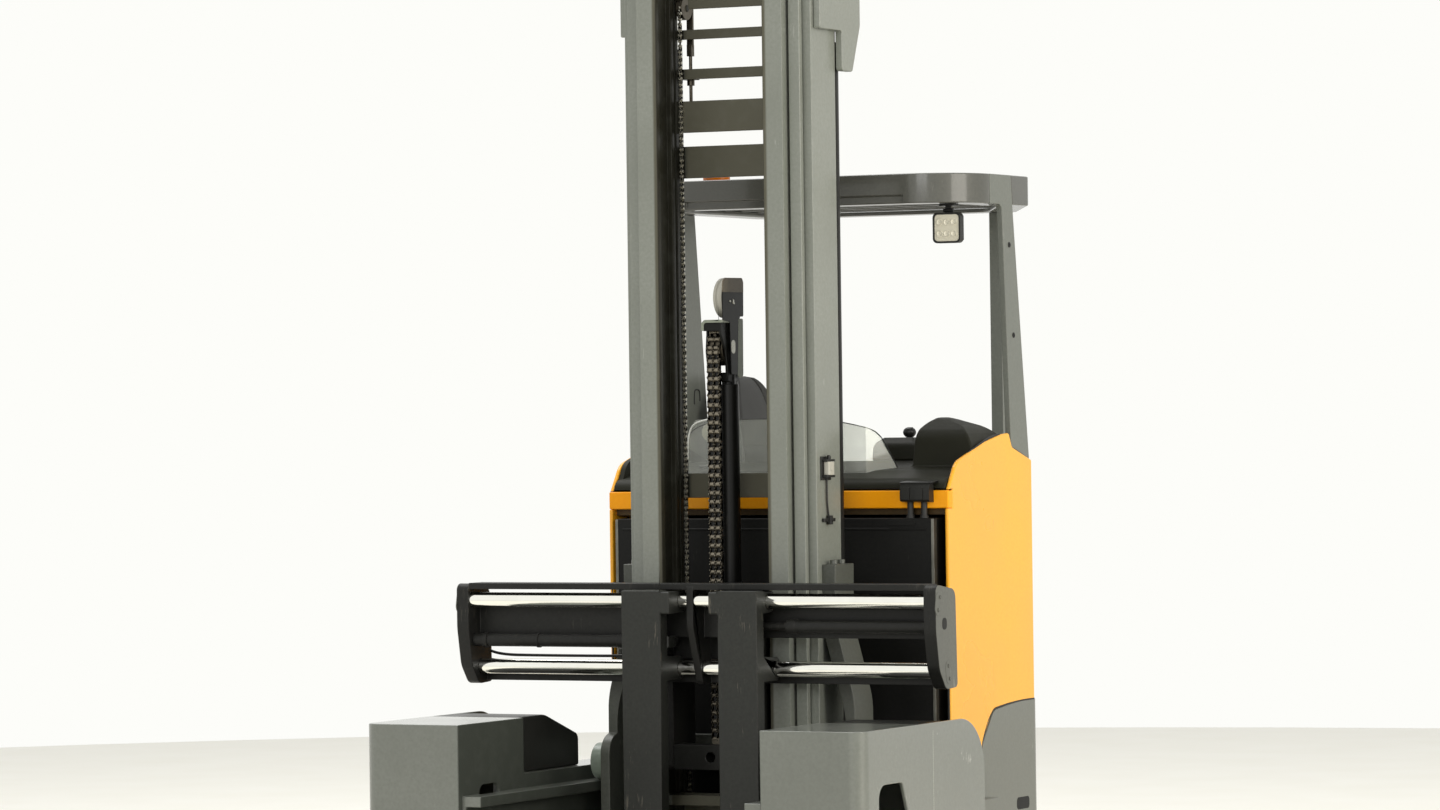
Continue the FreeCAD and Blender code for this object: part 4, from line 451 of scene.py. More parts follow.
# The beacon's lens glows a little, because some light passes through its dyed wall.
AMBER = moulded("amber_polycarbonate", "#e57c06", "#cf6a02", 0.2, grain_mm=8.0, relief=0.2,
                **{"Transmission Weight": 0.12, "IOR": 1.58, "Specular IOR Level": 0.3})
# Rolled clear sheet, nearly free of marks.
CLEAR = moulded("clear_polycarbonate", "#ffffff", "#f4f6f4", 0.08, grain_mm=40.0, relief=0.02,
                **{"Transmission Weight": 1.0, "IOR": 1.58})
# Holes and pockets that light does not reach.
SHADOW = moulded("unlit_recess_black", "#0d0d0c", "#080807", 0.7, grain_mm=5.0)
# Sunlight has yellowed the knob's white ABS.
CREAM = moulded("cream_abs", "#cbc5b0", "#bab49f", 0.4, grain_mm=4.0, relief=0.1)
# Embossed vinyl over foam: a deep grain and a soft sheen.
SEAT_VINYL = moulded("seat_vinyl", "#262624", "#1c1c1a", 0.55, grain_mm=2.2, relief=0.8)
print(len(bpy.data.materials), "materials so far")

# %% [markdown]
# ## Edges that catch the light
# Cut plate and rolled channel never end in a razor edge: a plasma cut and the paint film leave a
# radius of one to three millimetres, and that thin line of light is what makes steel look thick.
# Modifiers do it without touching the CAD mesh: weld the loose triangles, dissolve the flat
# ones, bevel what is left and let the large faces keep their flat shading.

# %% Edge rounding
FLAT_ANGLE = math.radians(1.5)      # triangles flatter than this are one face
EDGE_ANGLE = math.radians(32)       # a sharper bend than this is an edge
WELD_MM = 0.02                      # vertices nearer than this are one


def rounded(obj, width_mm, segments=2):
    """Adds the edge-rounding modifiers to one object."""
    for polygon in obj.data.polygons:
        polygon.use_smooth = True
    if "custom_normal" in obj.data.attributes:
        obj.data.attributes.remove(obj.data.attributes["custom_normal"])
    weld = obj.modifiers.new("weld", "WELD")
    weld.merge_threshold = WELD_MM * MM
    flat = obj.modifiers.new("flat", "DECIMATE")
    flat.decimate_type = "DISSOLVE"
    flat.angle_limit = FLAT_ANGLE
    bevel = obj.modifiers.new("edge", "BEVEL")
    bevel.width = width_mm * MM
    bevel.segments = segments
    bevel.limit_method = "ANGLE"
    bevel.angle_limit = EDGE_ANGLE
    bevel.use_clamp_overlap = False
    normal = obj.modifiers.new("shade", "WEIGHTED_NORMAL")
    normal.keep_sharp = True


# %% [markdown]
# ## The CAD nodes' own finishes
# Where the CAD shape is right it stays, and gets its finish and an edge radius in millimetres:
# generous on folded sheet and moulded covers, small on machined parts, next to none on thin
# plate.  One line for each finish reads like the paint shop's list.

# %% Dress the nodes
def dress(material, width_mm, *names):
    """Gives CAD nodes their finish and their edge radius."""
    for name in names:
        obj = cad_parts[name]
        obj.data.materials.clear()
        obj.data.materials.append(material)
        if width_mm:
            rounded(obj, width_mm)


def pair(name):
    """Both names of a part that the truck has on its left and on its right."""
    return name + "_left", name + "_right"


dress(LEG_GREY, 3.0, *pair("leg"))
dress(SMOOTH_BLACK, 6.0, *pair("swivel_cover"))
dress(BRIGHT_STEEL, 1.5, *pair("load_yoke"), "drive_unit")
dress(POLYURETHANE, 2.0, *pair("load_wheel"), "drive_wheel")
dress(BODY_GREY, 3.0, "chassis_frame")
dress(YELLOW, 4.0, *pair("side_panel"), "drive_hood")
dress(BAND_ORANGE, 4.0, "front_band")
dress(GRAINED_BLACK, 6.0, "dash_cover", "control_console", "steering_console")
dress(BATTERY_BLACK, 3.0, "battery", "battery_shelf")
dress(GRAINED_BLACK, 2.0, "seat_box")
dress(SEAT_VINYL, 20.0, "seat_cushion", "seat_back")
dress(POST_GREY, 2.0, *pair("guard_post"), *pair("rear_post"))
dress(ROOF_GREY, 4.0, "roof_frame")
dress(ROOF_GREY, 2.0, "roof_bars")
dress(SMOOTH_BLACK, 2.0, "work_lamp", "steering_wheel", "joystick", "battery_plug")
dress(AMBER, 2.0, "beacon")
dress(CLEAR, 0.8, "front_screen")
dress(MAST_GREY, 2.5, "outer_mast", "middle_mast", "inner_mast")
dress(MAST_GREY, 2.5, "head_covers")
dress(CARRIAGE_SHADE_GREY, 2.5, "reach_carriage")
dress(ROLLER_GREY, 2.0, "reach_rollers")
dress(BRIGHT_STEEL, 2.0, "lift_rods")
dress(OILY_BLACK, 2.0, "free_lift_cylinder", "free_lift_rod")
dress(BLACK, 2.0, "lift_cylinders", "fork_carriage", "lift_carriage",
      "shift_cylinders", *pair("shift_rod"))
dress(FORK_BLACK, 2.5, *pair("fork"))
dress(CHROME, 1.0, "fork_bars")
dress(OILED, 0.5, "carriage_chain", "mast_chains", "chain_anchors", "mast_pulleys", "free_lift_pulley")
dress(POLYAMIDE, 1.5, "hose_pulley")
print("dressed", len(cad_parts), "CAD nodes")

# %% [markdown]
# ## Tools for the modelled pieces
# Turned parts such as rollers, bolts and lenses come from a profile spun about an axis, plates
# and housings from a rounded outline pushed through their thickness, and steel tubes from a
# curve with a round section.  The first two fill a bmesh, so several shapes can share one mesh.

# %% Turned shapes
AXES = {"x": (Vector((1, 0, 0)), Vector((0, 1, 0)), Vector((0, 0, 1))),
        "y": (Vector((0, 1, 0)), Vector((1, 0, 0)), Vector((0, 0, 1))),
        "z": (Vector((0, 0, 1)), Vector((1, 0, 0)), Vector((0, 1, 0)))}


def spin(bm, centre, axis, profile, segments=32):
    """Spins a profile of (radius, reach along the axis) about a point, all in mm."""
    along, side, third = AXES[axis]
    rings = []
    for radius, reach in profile:
        middle = Vector(centre) + along * reach
        turns = [2 * math.pi * i / segments for i in range(segments if radius else 1)]
        rings.append([bm.verts.new((middle + (side * math.cos(t) + third * math.sin(t)) * radius) * MM)
                      for t in turns])
    for near, far in zip(rings, rings[1:]):
        for i in range(segments):
            corners = list(dict.fromkeys([near[i % len(near)], near[(i + 1) % len(near)],
                                          far[(i + 1) % len(far)], far[i % len(far)]]))
            if len(corners) > 2:
                bm.faces.new(corners)
    for ring in (rings[0], rings[-1]):
        if len(ring) > 1:
            bm.faces.new(ring)


# %% Plates and blocks
def arcs(corners, steps=5):
    """The points of an outline whose corners (u, v, radius) are rounded."""
    points = []
    for i, corner in enumerate(corners):
        here = Vector(corner[:2])
        if len(corner) == 2:
            points.append(here)
            continue
        back = (Vector(corners[i - 1][:2]) - here).normalized()
        ahead = (Vector(corners[(i + 1) % len(corners)][:2]) - here).normalized()
        half = back.angle(ahead) / 2
        centre = here + (back + ahead).normalized() * corner[2] / math.sin(half)
        begin = here + back * corner[2] / math.tan(half) - centre
        end = here + ahead * corner[2] / math.tan(half) - centre
        sweep = begin.angle(end)
        for k in range(steps + 1):
            share = k / steps
            points.append(centre + (begin * math.sin((1 - share) * sweep) + end * math.sin(share * sweep))
                          / math.sin(sweep))
    return points


PLACES = {"x": lambda u, v, w: (w, u, v), "y": lambda u, v, w: (u, w, v),
          "z": lambda u, v, w: (u, v, w)}


def push(bm, corners, axis, low, high, steps=5):
    """Pushes an outline in mm along an axis; u, v are y, z for x, then x, z for y and x, y for z."""
    points = arcs(corners, steps)
    ends = [[bm.verts.new(Vector(PLACES[axis](p.x, p.y, w)) * MM) for p in points] for w in (low, high)]
    for i in range(len(points)):
        j = (i + 1) % len(points)
        bm.faces.new((ends[0][i], ends[0][j], ends[1][j], ends[1][i]))
    bm.faces.new(ends[0])
    bm.faces.new(ends[1])


def block(bm, x0, x1, y0, y1, z0, z1, radius=0.0):
    """A block in mm whose edges along Z are rounded."""
    corners = [(x0, y0), (x1, y0), (x1, y1), (x0, y1)]
    push(bm, [corner + (radius,) for corner in corners] if radius else corners, "z", z0, z1)


# %% From a bmesh to a finished piece
SHARP_ANGLE = math.radians(38)      # shading breaks at a bend sharper than this


def piece(name, bm, material, body, edge_mm=0.0):
    """Makes an object of a bmesh, gives it its finish and lets it ride on a body."""
    mesh = bpy.data.meshes.new(name)
    bmesh.ops.recalc_face_normals(bm, faces=bm.faces)
    bm.to_mesh(mesh)
    bm.free()
    mesh.materials.append(material)
    mesh.polygons.foreach_set("use_smooth", [True] * len(mesh.polygons))
    mesh.set_sharp_from_angle(angle=SHARP_ANGLE)
    obj = bpy.data.objects.new(name, mesh)
    bpy.context.scene.collection.objects.link(obj)
    if edge_mm:
        bevel = obj.modifiers.new("edge", "BEVEL")
        bevel.width = edge_mm * MM
        bevel.segments = 2
        bevel.limit_method = "ANGLE"
        bevel.angle_limit = EDGE_ANGLE
        bevel.harden_normals = True
    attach(obj, body)
    print(name, len(mesh.polygons), "faces on", body)
    return obj


# %% Tubes and edgings
def steel_tube(name, points, radius_mm, material, body):
    """A bent tube along points in mm."""
    curve = bpy.data.curves.new(name, "CURVE")
    curve.dimensions = "3D"
    curve.bevel_depth = radius_mm * MM
    curve.bevel_resolution = 4
    curve.resolution_u = 8
    curve.use_fill_caps = True
    spline = curve.splines.new("NURBS")
    spline.points.add(len(points) - 1)
    for knot, place in zip(spline.points, points):
        knot.co = (*(Vector(place) * MM), 1.0)
    spline.order_u = 3
    spline.use_endpoint_u = True
    curve.materials.append(material)
    obj = bpy.data.objects.new(name, curve)
    bpy.context.scene.collection.objects.link(obj)
    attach(obj, body)
    print(name, "through", len(points), "points on", body)
    return obj


# %% A node's corners in millimetres
def corners_mm(node):
    """Lowest and highest corner of a CAD node, in mm."""
    low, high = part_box(node)
    return [Vector(low) / MM, Vector(high) / MM]


# %% [markdown]
# ## The seat
# The operator sits sideways on a moulded foam seat with raised side bolsters, covered in black
# vinyl and sewn in panels.  Each half is a closed form lofted along its length: every section is
# a squarish oval, the face swells to the bolsters, and the seams pull it in.  The sections are
# close enough together for the seams to be real grooves, with a piped ridge round the edge.  A
# cloth simulation is the usual way to swell a sewn pad and gives truer creases.  It was not run
# here, for want of time, so the swell and the seams are drawn by formula.

# %% Padded shapes
# Shares are of the pad's half width or of its length; the piping is in millimetres.
AROUND = 176            # points round a section, so that a groove gets several of them
ALONG = 96              # sections along a pad
SQUARE_WIDE = 0.42      # powers below 1 turn the round section squarish
SQUARE_DEEP = 0.62
BOLSTER_AT = 0.80
BOLSTER_WIDE = 0.13
SEAM_AT = 0.58
SEAM_WIDE = 0.022
CROSS_SEAM_WIDE = 0.008
PIPING = 2.4
PIPING_AT = math.radians(12)
PIPING_WIDE = 0.03


def dip(value, place, width):
    """1 at a place, falling smoothly to 0 a few widths away."""
    return math.exp(-((value - place) / width) ** 2)


def pad(name, spine, body, bolster, seam, cross_seams, material):
    """Lofts a pad; spine(s) gives centre, across, out, half width and half thickness at s from 0 to 1."""
    bm = bmesh.new()
    rings = []
    for row in range(ALONG + 1):
        s = row / ALONG
        centre, across, out, wide, thick = spine(s)
        close = (1 - abs(2 * s - 1) ** 9) ** 0.45
        ring = []
        for k in range(AROUND):
            turn = 2 * math.pi * k / AROUND
            u = math.copysign(abs(math.cos(turn)) ** SQUARE_WIDE, math.cos(turn))
            v = math.copysign(abs(math.sin(turn)) ** SQUARE_DEEP, math.sin(turn))
            lift = 0.0
            if v > 0:
                lift = bolster * dip(abs(u), BOLSTER_AT, BOLSTER_WIDE) + 0.35 * bolster * (1 - u * u)
                lift -= seam * dip(abs(u), SEAM_AT, SEAM_WIDE)
                if abs(u) < SEAM_AT:
                    lift -= seam * sum(dip(s, place, CROSS_SEAM_WIDE) for place in cross_seams)
                lift *= min(1.0, v * 1.6) * close
            piping = PIPING * dip(turn if turn < math.pi else 3 * math.pi - turn, PIPING_AT, PIPING_WIDE)
            piping += PIPING * dip(turn, math.pi - PIPING_AT, PIPING_WIDE)
            half_width = wide * (0.25 + 0.75 * close) + piping
            reach = across * u * half_width + out * (v * thick * close + lift)
            ring.append(bm.verts.new((centre + reach) * MM))
        rings.append(ring)
    for near, far in zip(rings, rings[1:]):
        for k in range(AROUND):
            bm.faces.new((near[k], near[(k + 1) % AROUND], far[(k + 1) % AROUND], far[k]))
    bm.faces.new(rings[0])
    bm.faces.new(rings[-1])
    return piece(name, bm, material, body)


# %% Seat cushion
cushion_low, cushion_high = corners_mm("seat_cushion")
CUSHION_THICK = cushion_high.z - cushion_low.z
CUSHION_INSET = 4       # mm left free at each end of the CAD block


def cushion_spine(s):
    """Runs from the backrest to the front edge, which rolls down."""
    x = cushion_low.x + CUSHION_INSET + s * (cushion_high.x - cushion_low.x - 2 * CUSHION_INSET)
    roll = 10 * max(0.0, s - 0.8) ** 2 * 25
    middle = Vector((x, (cushion_low.y + cushion_high.y) / 2,
                     cushion_low.z + CUSHION_THICK * 0.40 - roll * 0.4))
    wide = (cushion_high.y - cushion_low.y) / 2 - 3
    return middle, Vector((0, 1, 0)), Vector((0, 0, 1)), wide, CUSHION_THICK * 0.39 - roll * 0.3


seat_pad = pad("seat_pad", cushion_spine, "chassis", 12, 7, (0.36, 0.68), SEAT_VINYL)
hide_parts("seat_cushion")

# %% Seat back
back_low, back_high = corners_mm("seat_back")
BACK_FOOT = 812.0       # height in mm where the pad begins, over the cushion


def back_spine(s):
    """Leans back and narrows to a round top."""
    z = BACK_FOOT + s * (back_high.z + 26 - BACK_FOOT)
    front = -292 - 128 * s
    rear = -423 - 73 * min(1.0, s * 1.15)
    lean = Vector((1, 0, 0.18)).normalized()
    thick = (front - rear) / 2 - 9
    middle = Vector(((front + rear) / 2 - 4, (back_low.y + back_high.y) / 2, z))
    wide = (back_high.y - back_low.y) / 2 - 6
    if s > 0.66:
        wide *= math.sqrt(1 - ((s - 0.66) / 0.36) ** 2 * 0.72)
    return middle, Vector((0, 1, 0)), lean, wide, thick


back_pad = pad("seat_back_pad", back_spine, "chassis", 11, 6, (0.30, 0.52, 0.72), SEAT_VINYL)
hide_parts("seat_back")

# %% [markdown]
# ## Seat frame
# A seat of this kind is bolted up from a pressed back plate and a shallow pan.  Only their edges
# show, between the pads and the hood, so an upright profile and one rounded block are enough.

# %% Seat frame under the pads
BACK_PLATE = [(-426, 702, 6), (-396, 702, 6), (-396, 860, 6), (-418, 1010, 30), (-426, 1010, 4)]
bm = bmesh.new()
push(bm, BACK_PLATE, "y", back_low.y + 60, back_high.y - 60)
block(bm, cushion_low.x + 20, cushion_high.x - 60, cushion_low.y + 24, cushion_high.y - 24,
      cushion_low.z - 0.3, cushion_low.z + 12, 20)
piece("seat_frame", bm, SMOOTH_BLACK, "chassis", 2.0)

# %% [markdown]
# ## Roller chains
# A duplex roller chain lifts the carriage: two rows of rollers between waisted side plates, with
# inner and outer links in turn.  Each plate is drawn between two pins, so one function serves the
# straight fall and the turn over the pulley.  The mast's own chains are narrow leaf chains,
# stacked from the same plates without rollers.

# %% Link plates
PLATE_STEPS = 4                     # faces round each end of a plate
PLATE_ARC = math.radians(65)        # half of the arc that they cover
WAIST = 0.72                        # a plate's half height between its pins, as a share of its end's


def link_plate(bm, x, thick, near, far, radius):
    """Waisted side plate between two pins, each (y, z), in the plane across X."""
    near, far = Vector(near), Vector(far)
    way = (far - near).normalized()
    side = Vector((-way.y, way.x))
    rim = []
    for centre, sign in ((far, 1), (near, -1)):
        for k in range(PLATE_STEPS + 1):
            turn = PLATE_ARC * (2 * k / PLATE_STEPS - 1)
            rim.append(centre + (way * math.cos(turn) - side * math.sin(turn)) * sign * radius)
        rim.append((near + far) / 2 + side * (WAIST * radius) * sign)
    front = [bm.verts.new(Vector((x - thick / 2, p.x, p.y)) * MM) for p in rim]
    back = [bm.verts.new(Vector((x + thick / 2, p.x, p.y)) * MM) for p in rim]
    for i in range(len(rim)):
        j = (i + 1) % len(rim)
        bm.faces.new((front[i], front[j], back[j], back[i]))
    bm.faces.new(front)
    bm.faces.new(back)


# %% Roller chain and leaf chain
PIN_SHARE = 0.45        # a pin's radius as a share of its roller's


def roller_chain(bm, x, pins, rows, inner, thick, plate_r, roller_r):
    """Rows of rollers and link plates along pins; inner is the width between inner plates."""
    step = inner + 3 * thick
    starts = [x + (row - (rows - 1) / 2) * step for row in range(rows)]
    half = (rows * step + thick) / 2
    for number, (y, z) in enumerate(pins):
        pin_r = roller_r * PIN_SHARE
        spin(bm, (x - half, y, z), "x", [(0, 0), (pin_r, 0), (pin_r, 2 * half), (0, 2 * half)], 8)
        for centre in starts:
            spin(bm, (centre - inner / 2, y, z), "x",
                 [(0, 0), (roller_r, 0), (roller_r, inner), (0, inner)], 12)
        if number + 1 == len(pins):
            break
        if number % 2:
            spots = [c + way * (inner + thick) / 2 for c in starts for way in (-1, 1)]
        else:
            spots = [starts[0] - step / 2] + [c + step / 2 for c in starts]
        for spot in spots:
            link_plate(bm, spot, thick, (y, z), pins[number + 1], plate_r)


def leaf_chain(bm, x, pins, leaves, thick, plate_r):
    """Stacked plates; every other link takes the odd leaves."""
    for number, (near, far) in enumerate(zip(pins, pins[1:])):
        for leaf in range(leaves):
            if (leaf + number) % 2 == 0:
                link_plate(bm, x + (leaf - (leaves - 1) / 2) * thick, thick * 0.9, near, far, plate_r)
        spin(bm, (x - leaves * thick / 2 - 1, *near), "x",
             [(0, 0), (plate_r * 0.5, 0), (plate_r * 0.5, leaves * thick + 2), (0, leaves * thick + 2)], 8)


# %% [markdown]
# ## Lift chain
# The fall hangs from the free lift head down to the carriage, and dark blocks between its rows are
# painted shade in the chain's gaps.  Its pitch of 25.4 mm is a standard one and an estimate for this
# truck.  As the carriage rises the fall gets shorter.  Links that travel round the wheel would need an
# animation of their own, and squashing the fall towards its foot would keep both of its ends in
# place at every height; here the fall and its blocks get a mesh of their own and ride on the carriage.

# %% Straight fall
LIFT_PITCH = 25.4
FALL_FOOT = 14          # mm from the chain's foot to its first pin
LIFT_LINK = {"rows": 2, "inner": 11.5, "thick": 2.5}
ROW_HALF_STEP = 9.5     # from the chain's middle to the middle of a row
chain_low, chain_high = corners_mm("carriage_chain")
chain_x = (chain_low.x + chain_high.x) / 2
chain_y = (chain_low.y + chain_high.y) / 2
fall = [(chain_y, chain_low.z + FALL_FOOT + i * LIFT_PITCH)
        for i in range(int((chain_high.z - chain_low.z - FALL_FOOT) / LIFT_PITCH) + 1)]
bm = bmesh.new()
roller_chain(bm, chain_x, fall, **LIFT_LINK, plate_r=9.5, roller_r=7.0)
block(bm, chain_x - 20, chain_x + 20, chain_y - 6, chain_y + 6, chain_low.z - 0.2, chain_low.z + 16, 3)
lift_chain = piece("lift_chain", bm, RUSTY, "slide_carriage")
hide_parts("carriage_chain")
# The blocks between the two rows are painted shade in the chain's gaps.
bm = bmesh.new()
for way in (-1, 1):
    row_x = chain_x + way * ROW_HALF_STEP
    block(bm, row_x - 5.5, row_x + 5.5, chain_y + 1, chain_y + 4.5, chain_low.z + 16, chain_high.z - 4)
gap_shade = piece("lift_chain_gap_shade", bm, SHADOW, "slide_carriage")
for part in (lift_chain, gap_shade):
    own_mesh(part)
print("lift chain pitches", len(fall) - 1)

# %% The same chain over its pulley
# The turn's radius is where the pins run, and each pitch is a chord of it.
wheel_low, wheel_high = corners_mm("free_lift_pulley")
wheel_y = (wheel_low.y + wheel_high.y) / 2
wheel_z = (wheel_low.z + wheel_high.z) / 2
pitch_radius = wheel_y - chain_y
turn_step = 2 * math.asin(LIFT_PITCH / 2 / pitch_radius)
wrap = [(wheel_y - pitch_radius * math.cos(i * turn_step),
         wheel_z + pitch_radius * math.sin(i * turn_step))
        for i in range(int(math.pi / turn_step) + 1)]
bm = bmesh.new()
roller_chain(bm, chain_x, wrap, **LIFT_LINK, plate_r=7.5, roller_r=6.0)
piece("lift_chain_wrap", bm, RUSTY, "free_rod")

# %% [markdown]
# ## Mast chains
# A leaf chain each side pulls the inner stage up as the middle one rises.  It has no rollers,
# only stacked plates that alternate, so its edge looks like a comb.

# %% Chains of the mast
MAST_PITCH = 15.875
MAST_FOOT = 8           # mm from the chain's foot to its first pin
MAST_CHAIN_IN = 16      # mm from the outer side of the pair to one chain's middle
mast_low, mast_high = corners_mm("mast_chains")
mast_y = (mast_low.y + mast_high.y) / 2
fall = [(mast_y, mast_low.z + MAST_FOOT + i * MAST_PITCH)
        for i in range(int((mast_high.z - mast_low.z - MAST_FOOT) / MAST_PITCH) + 1)]
for side, way in (("left", -1), ("right", 1)):
    mast_x = way * (mast_high.x - MAST_CHAIN_IN)
    bm = bmesh.new()
    leaf_chain(bm, mast_x, fall, leaves=3, thick=3.4, plate_r=5.4)
    chain = piece("mast_chain_" + side, bm, DRY_LEAVES, "inner_stage")
    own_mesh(chain)
    if side == "left":
        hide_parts("mast_chains")
print("mast chain pitches", len(fall) - 1)

# %% [markdown]
# ## Clear screen
# A sheet of 3 mm polycarbonate stands on the dash, its end on the entry side folded back.  It is
# so clear that only its rim and a faint sheen show, so its shader mixes see-through with gloss
# instead of bending light, which also keeps thin sheet from going dark.

# %% Clear sheet
DUST_MM = 60


def clear_sheet(name, haze_share, gloss_share):
    """Thin clear sheet: mostly see-through, with a dusty haze and a little gloss."""
    material, tree = new_tree(name)
    place = add(tree, "ShaderNodeTexCoord").outputs["Object"]
    dust = add(tree, "ShaderNodeTexNoise", {"Vector": place, "Scale": 1 / (DUST_MM * MM), "Detail": 6.0})
    open_air = add(tree, "ShaderNodeBsdfTransparent", {"Color": linear("#f2f3ef")})
    haze = add(tree, "ShaderNodeBsdfDiffuse", {"Color": linear("#e9ece6")})
    gloss = add(tree, "ShaderNodeBsdfGlossy", {"Color": linear("#ffffff"), "Roughness": 0.12})
    share = add(tree, "ShaderNodeMapRange", {0: dust.outputs["Fac"], 1: 0.3, 2: 0.7, 3: haze_share * 0.8,
                                             4: haze_share * 1.2})
    clouded = add(tree, "ShaderNodeMixShader",
                  {0: share.outputs[0], 1: open_air.outputs[0], 2: haze.outputs[0]})
    mix = add(tree, "ShaderNodeMixShader", {0: gloss_share, 1: clouded.outputs[0], 2: gloss.outputs[0]})
    add(tree, "ShaderNodeOutputMaterial", {"Surface": mix.outputs[0]})
    return material


SCREEN_CLEAR = clear_sheet("clear_polycarbonate_sheet", 0.2, 0.03)

# %% Screen with its folded end
# The flat part and the fold are pushed as two outlines, and the fold's points are then drawn
# back in proportion to how far they lie beyond the crease.
SCREEN_THICK = 3.0
FOLD_X = 255.0          # x of the crease
FOLD_DEPTH = 96.0       # how far back the fold reaches
FOLD_STEP = 60.0        # and how far sideways
screen_low, screen_high = corners_mm("front_screen")
screen_foot = screen_low.z
screen_top = screen_high.z + 12
bm = bmesh.new()
push(bm, [(screen_low.x, screen_foot), (screen_low.x, screen_top - 52, 10),
          (screen_low.x + 24, screen_top, 12), (90, screen_top - 1, 400), (FOLD_X, screen_top - 26),
          (FOLD_X, screen_foot)], "y", screen_low.y, screen_low.y + SCREEN_THICK)
front_count = len(bm.verts)
push(bm, [(FOLD_X, screen_foot), (FOLD_X, screen_top - 26), (FOLD_X + 20, screen_top - 40, 12),
          (FOLD_X + FOLD_STEP, screen_foot + 6)], "y", screen_low.y, screen_low.y + SCREEN_THICK)
bm.verts.ensure_lookup_table()
for vert in bm.verts[front_count:]:
    vert.co.y += max(0.0, (vert.co.x / MM - FOLD_X) / FOLD_STEP) * FOLD_DEPTH * MM
screen = piece("dash_screen", bm, SCREEN_CLEAR, "chassis", 0.6)
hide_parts("front_screen")

# %% Screen's rim and the painted highlight of its cut edge
# Both follow the sheet's top; heights are counted down from it.
RIM_LINE = [(screen_low.x, 0, -52), (screen_low.x + 22, 0, -2), (0, 0, 1), (120, 0, -2),
            (FOLD_X - 4, 0, -26), (FOLD_X + 24, 34, -44), (FOLD_X + 40, 62, -84),
            (FOLD_X + FOLD_STEP, FOLD_DEPTH, screen_foot - screen_top + 6)]
steel_tube("screen_rim", [(x, screen_low.y + 1.5 + y, screen_top + z) for x, y, z in RIM_LINE], 1.6,
           SMOOTH_BLACK, "chassis")
EDGE_LINE = [(screen_low.x - 2, -118), (screen_low.x - 1, -66), (screen_low.x + 8, -26),
             (screen_low.x + 30, -5), (-250, 3.5)]
steel_tube("screen_edge_highlight", [(x, screen_low.y - 0.5, screen_top + z) for x, z in EDGE_LINE], 2.4,
           SHEET_EDGE_HIGHLIGHT, "chassis")

# %% [markdown]
# ## Work lamp
# A square housing with cooling ribs on its back, a raised rim and six LED cups in its face.  The
# housing, ribs, rim and hinge are one mesh, because they are one casting; the bright face is a
# piece of its own, since it has another finish.

# %% Work lamp's housing
# Optical polycarbonate moulded into cups: bright and glossy.
LED_LENS = moulded("led_cup_lens", "#e9e4d2", "#cfc9b4", 0.18, grain_mm=7.0, relief=0.5,
                   **{"Coat Weight": 0.6, "IOR": 1.58})
lamp_low, lamp_high = corners_mm("work_lamp")
lamp_x = (lamp_low.x + lamp_high.x) / 2
LAMP_HALF = 45.0
RIM_SHARE = 0.88        # the rim's inner outline as a share of its outer one
lamp_z = lamp_low.z + LAMP_HALF + 1
bm = bmesh.new()
square = [(lamp_x - LAMP_HALF, lamp_z - LAMP_HALF, 14), (lamp_x + LAMP_HALF, lamp_z - LAMP_HALF, 14),
          (lamp_x + LAMP_HALF, lamp_z + LAMP_HALF, 14), (lamp_x - LAMP_HALF, lamp_z + LAMP_HALF, 14)]
push(bm, square, "y", lamp_low.y + 5, lamp_low.y + 26)
for rib in range(7):
    x = lamp_x - 33 + rib * 11
    push(bm, [(x - 2.2, lamp_z - 36), (x + 2.2, lamp_z - 36), (x + 2.2, lamp_z + 36),
              (x - 2.2, lamp_z + 36)], "y", lamp_low.y + 24, lamp_high.y)
inner = [(lamp_x + (u - lamp_x) * RIM_SHARE, lamp_z + (v - lamp_z) * RIM_SHARE, 11) for u, v, r in square]
outer_ring = arcs(square)
inner_ring = arcs(inner)
loops = [[bm.verts.new(Vector((p.x, y, p.y)) * MM) for p in ring]
         for y in (lamp_low.y, lamp_low.y + 6) for ring in (outer_ring, inner_ring)]
for i in range(len(outer_ring)):
    j = (i + 1) % len(outer_ring)
    for a, b in ((0, 1), (1, 3), (3, 2), (2, 0)):
        bm.faces.new((loops[a][i], loops[a][j], loops[b][j], loops[b][i]))
push(bm, [(lamp_x - 12, lamp_z + 40), (lamp_x + 12, lamp_z + 40), (lamp_x + 9, lamp_high.z - 4, 4),
          (lamp_x - 9, lamp_high.z - 4, 4)], "y", lamp_low.y + 14, lamp_low.y + 20)
block(bm, lamp_x - 26, lamp_x + 26, lamp_low.y + 2, lamp_low.y + 36, lamp_high.z - 7, lamp_high.z - 0.2, 6)
spin(bm, (lamp_x - 16, lamp_low.y + 17, lamp_z + 52), "x", [(0, 0), (6, 0), (6, 32), (0, 32)], 12)
housing = piece("lamp_housing", bm, SMOOTH_BLACK, "chassis", 1.2)
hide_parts("work_lamp")

# %% Lamp's face with its six cups
bm = bmesh.new()
push(bm, inner, "y", lamp_low.y + 3.5, lamp_low.y + 5.2)
for column in (-1, 0, 1):
    for row in (-1, 1):
        spin(bm, (lamp_x + column * 23, lamp_low.y + 3.6, lamp_z + row * 17), "y",
             [(9.5, 0), (10, -2.4), (8.2, -2.4), (3.0, 1.0), (0, 1.2)], 20)
piece("lamp_pane", bm, LED_LENS, "chassis", 0.4)

# %% [markdown]
# ## Beacon
# An amber lens on a black base with a round foot.  Ribs moulded up its wall break the light into
# upright lines: every other point of the turned wall is drawn in a little.

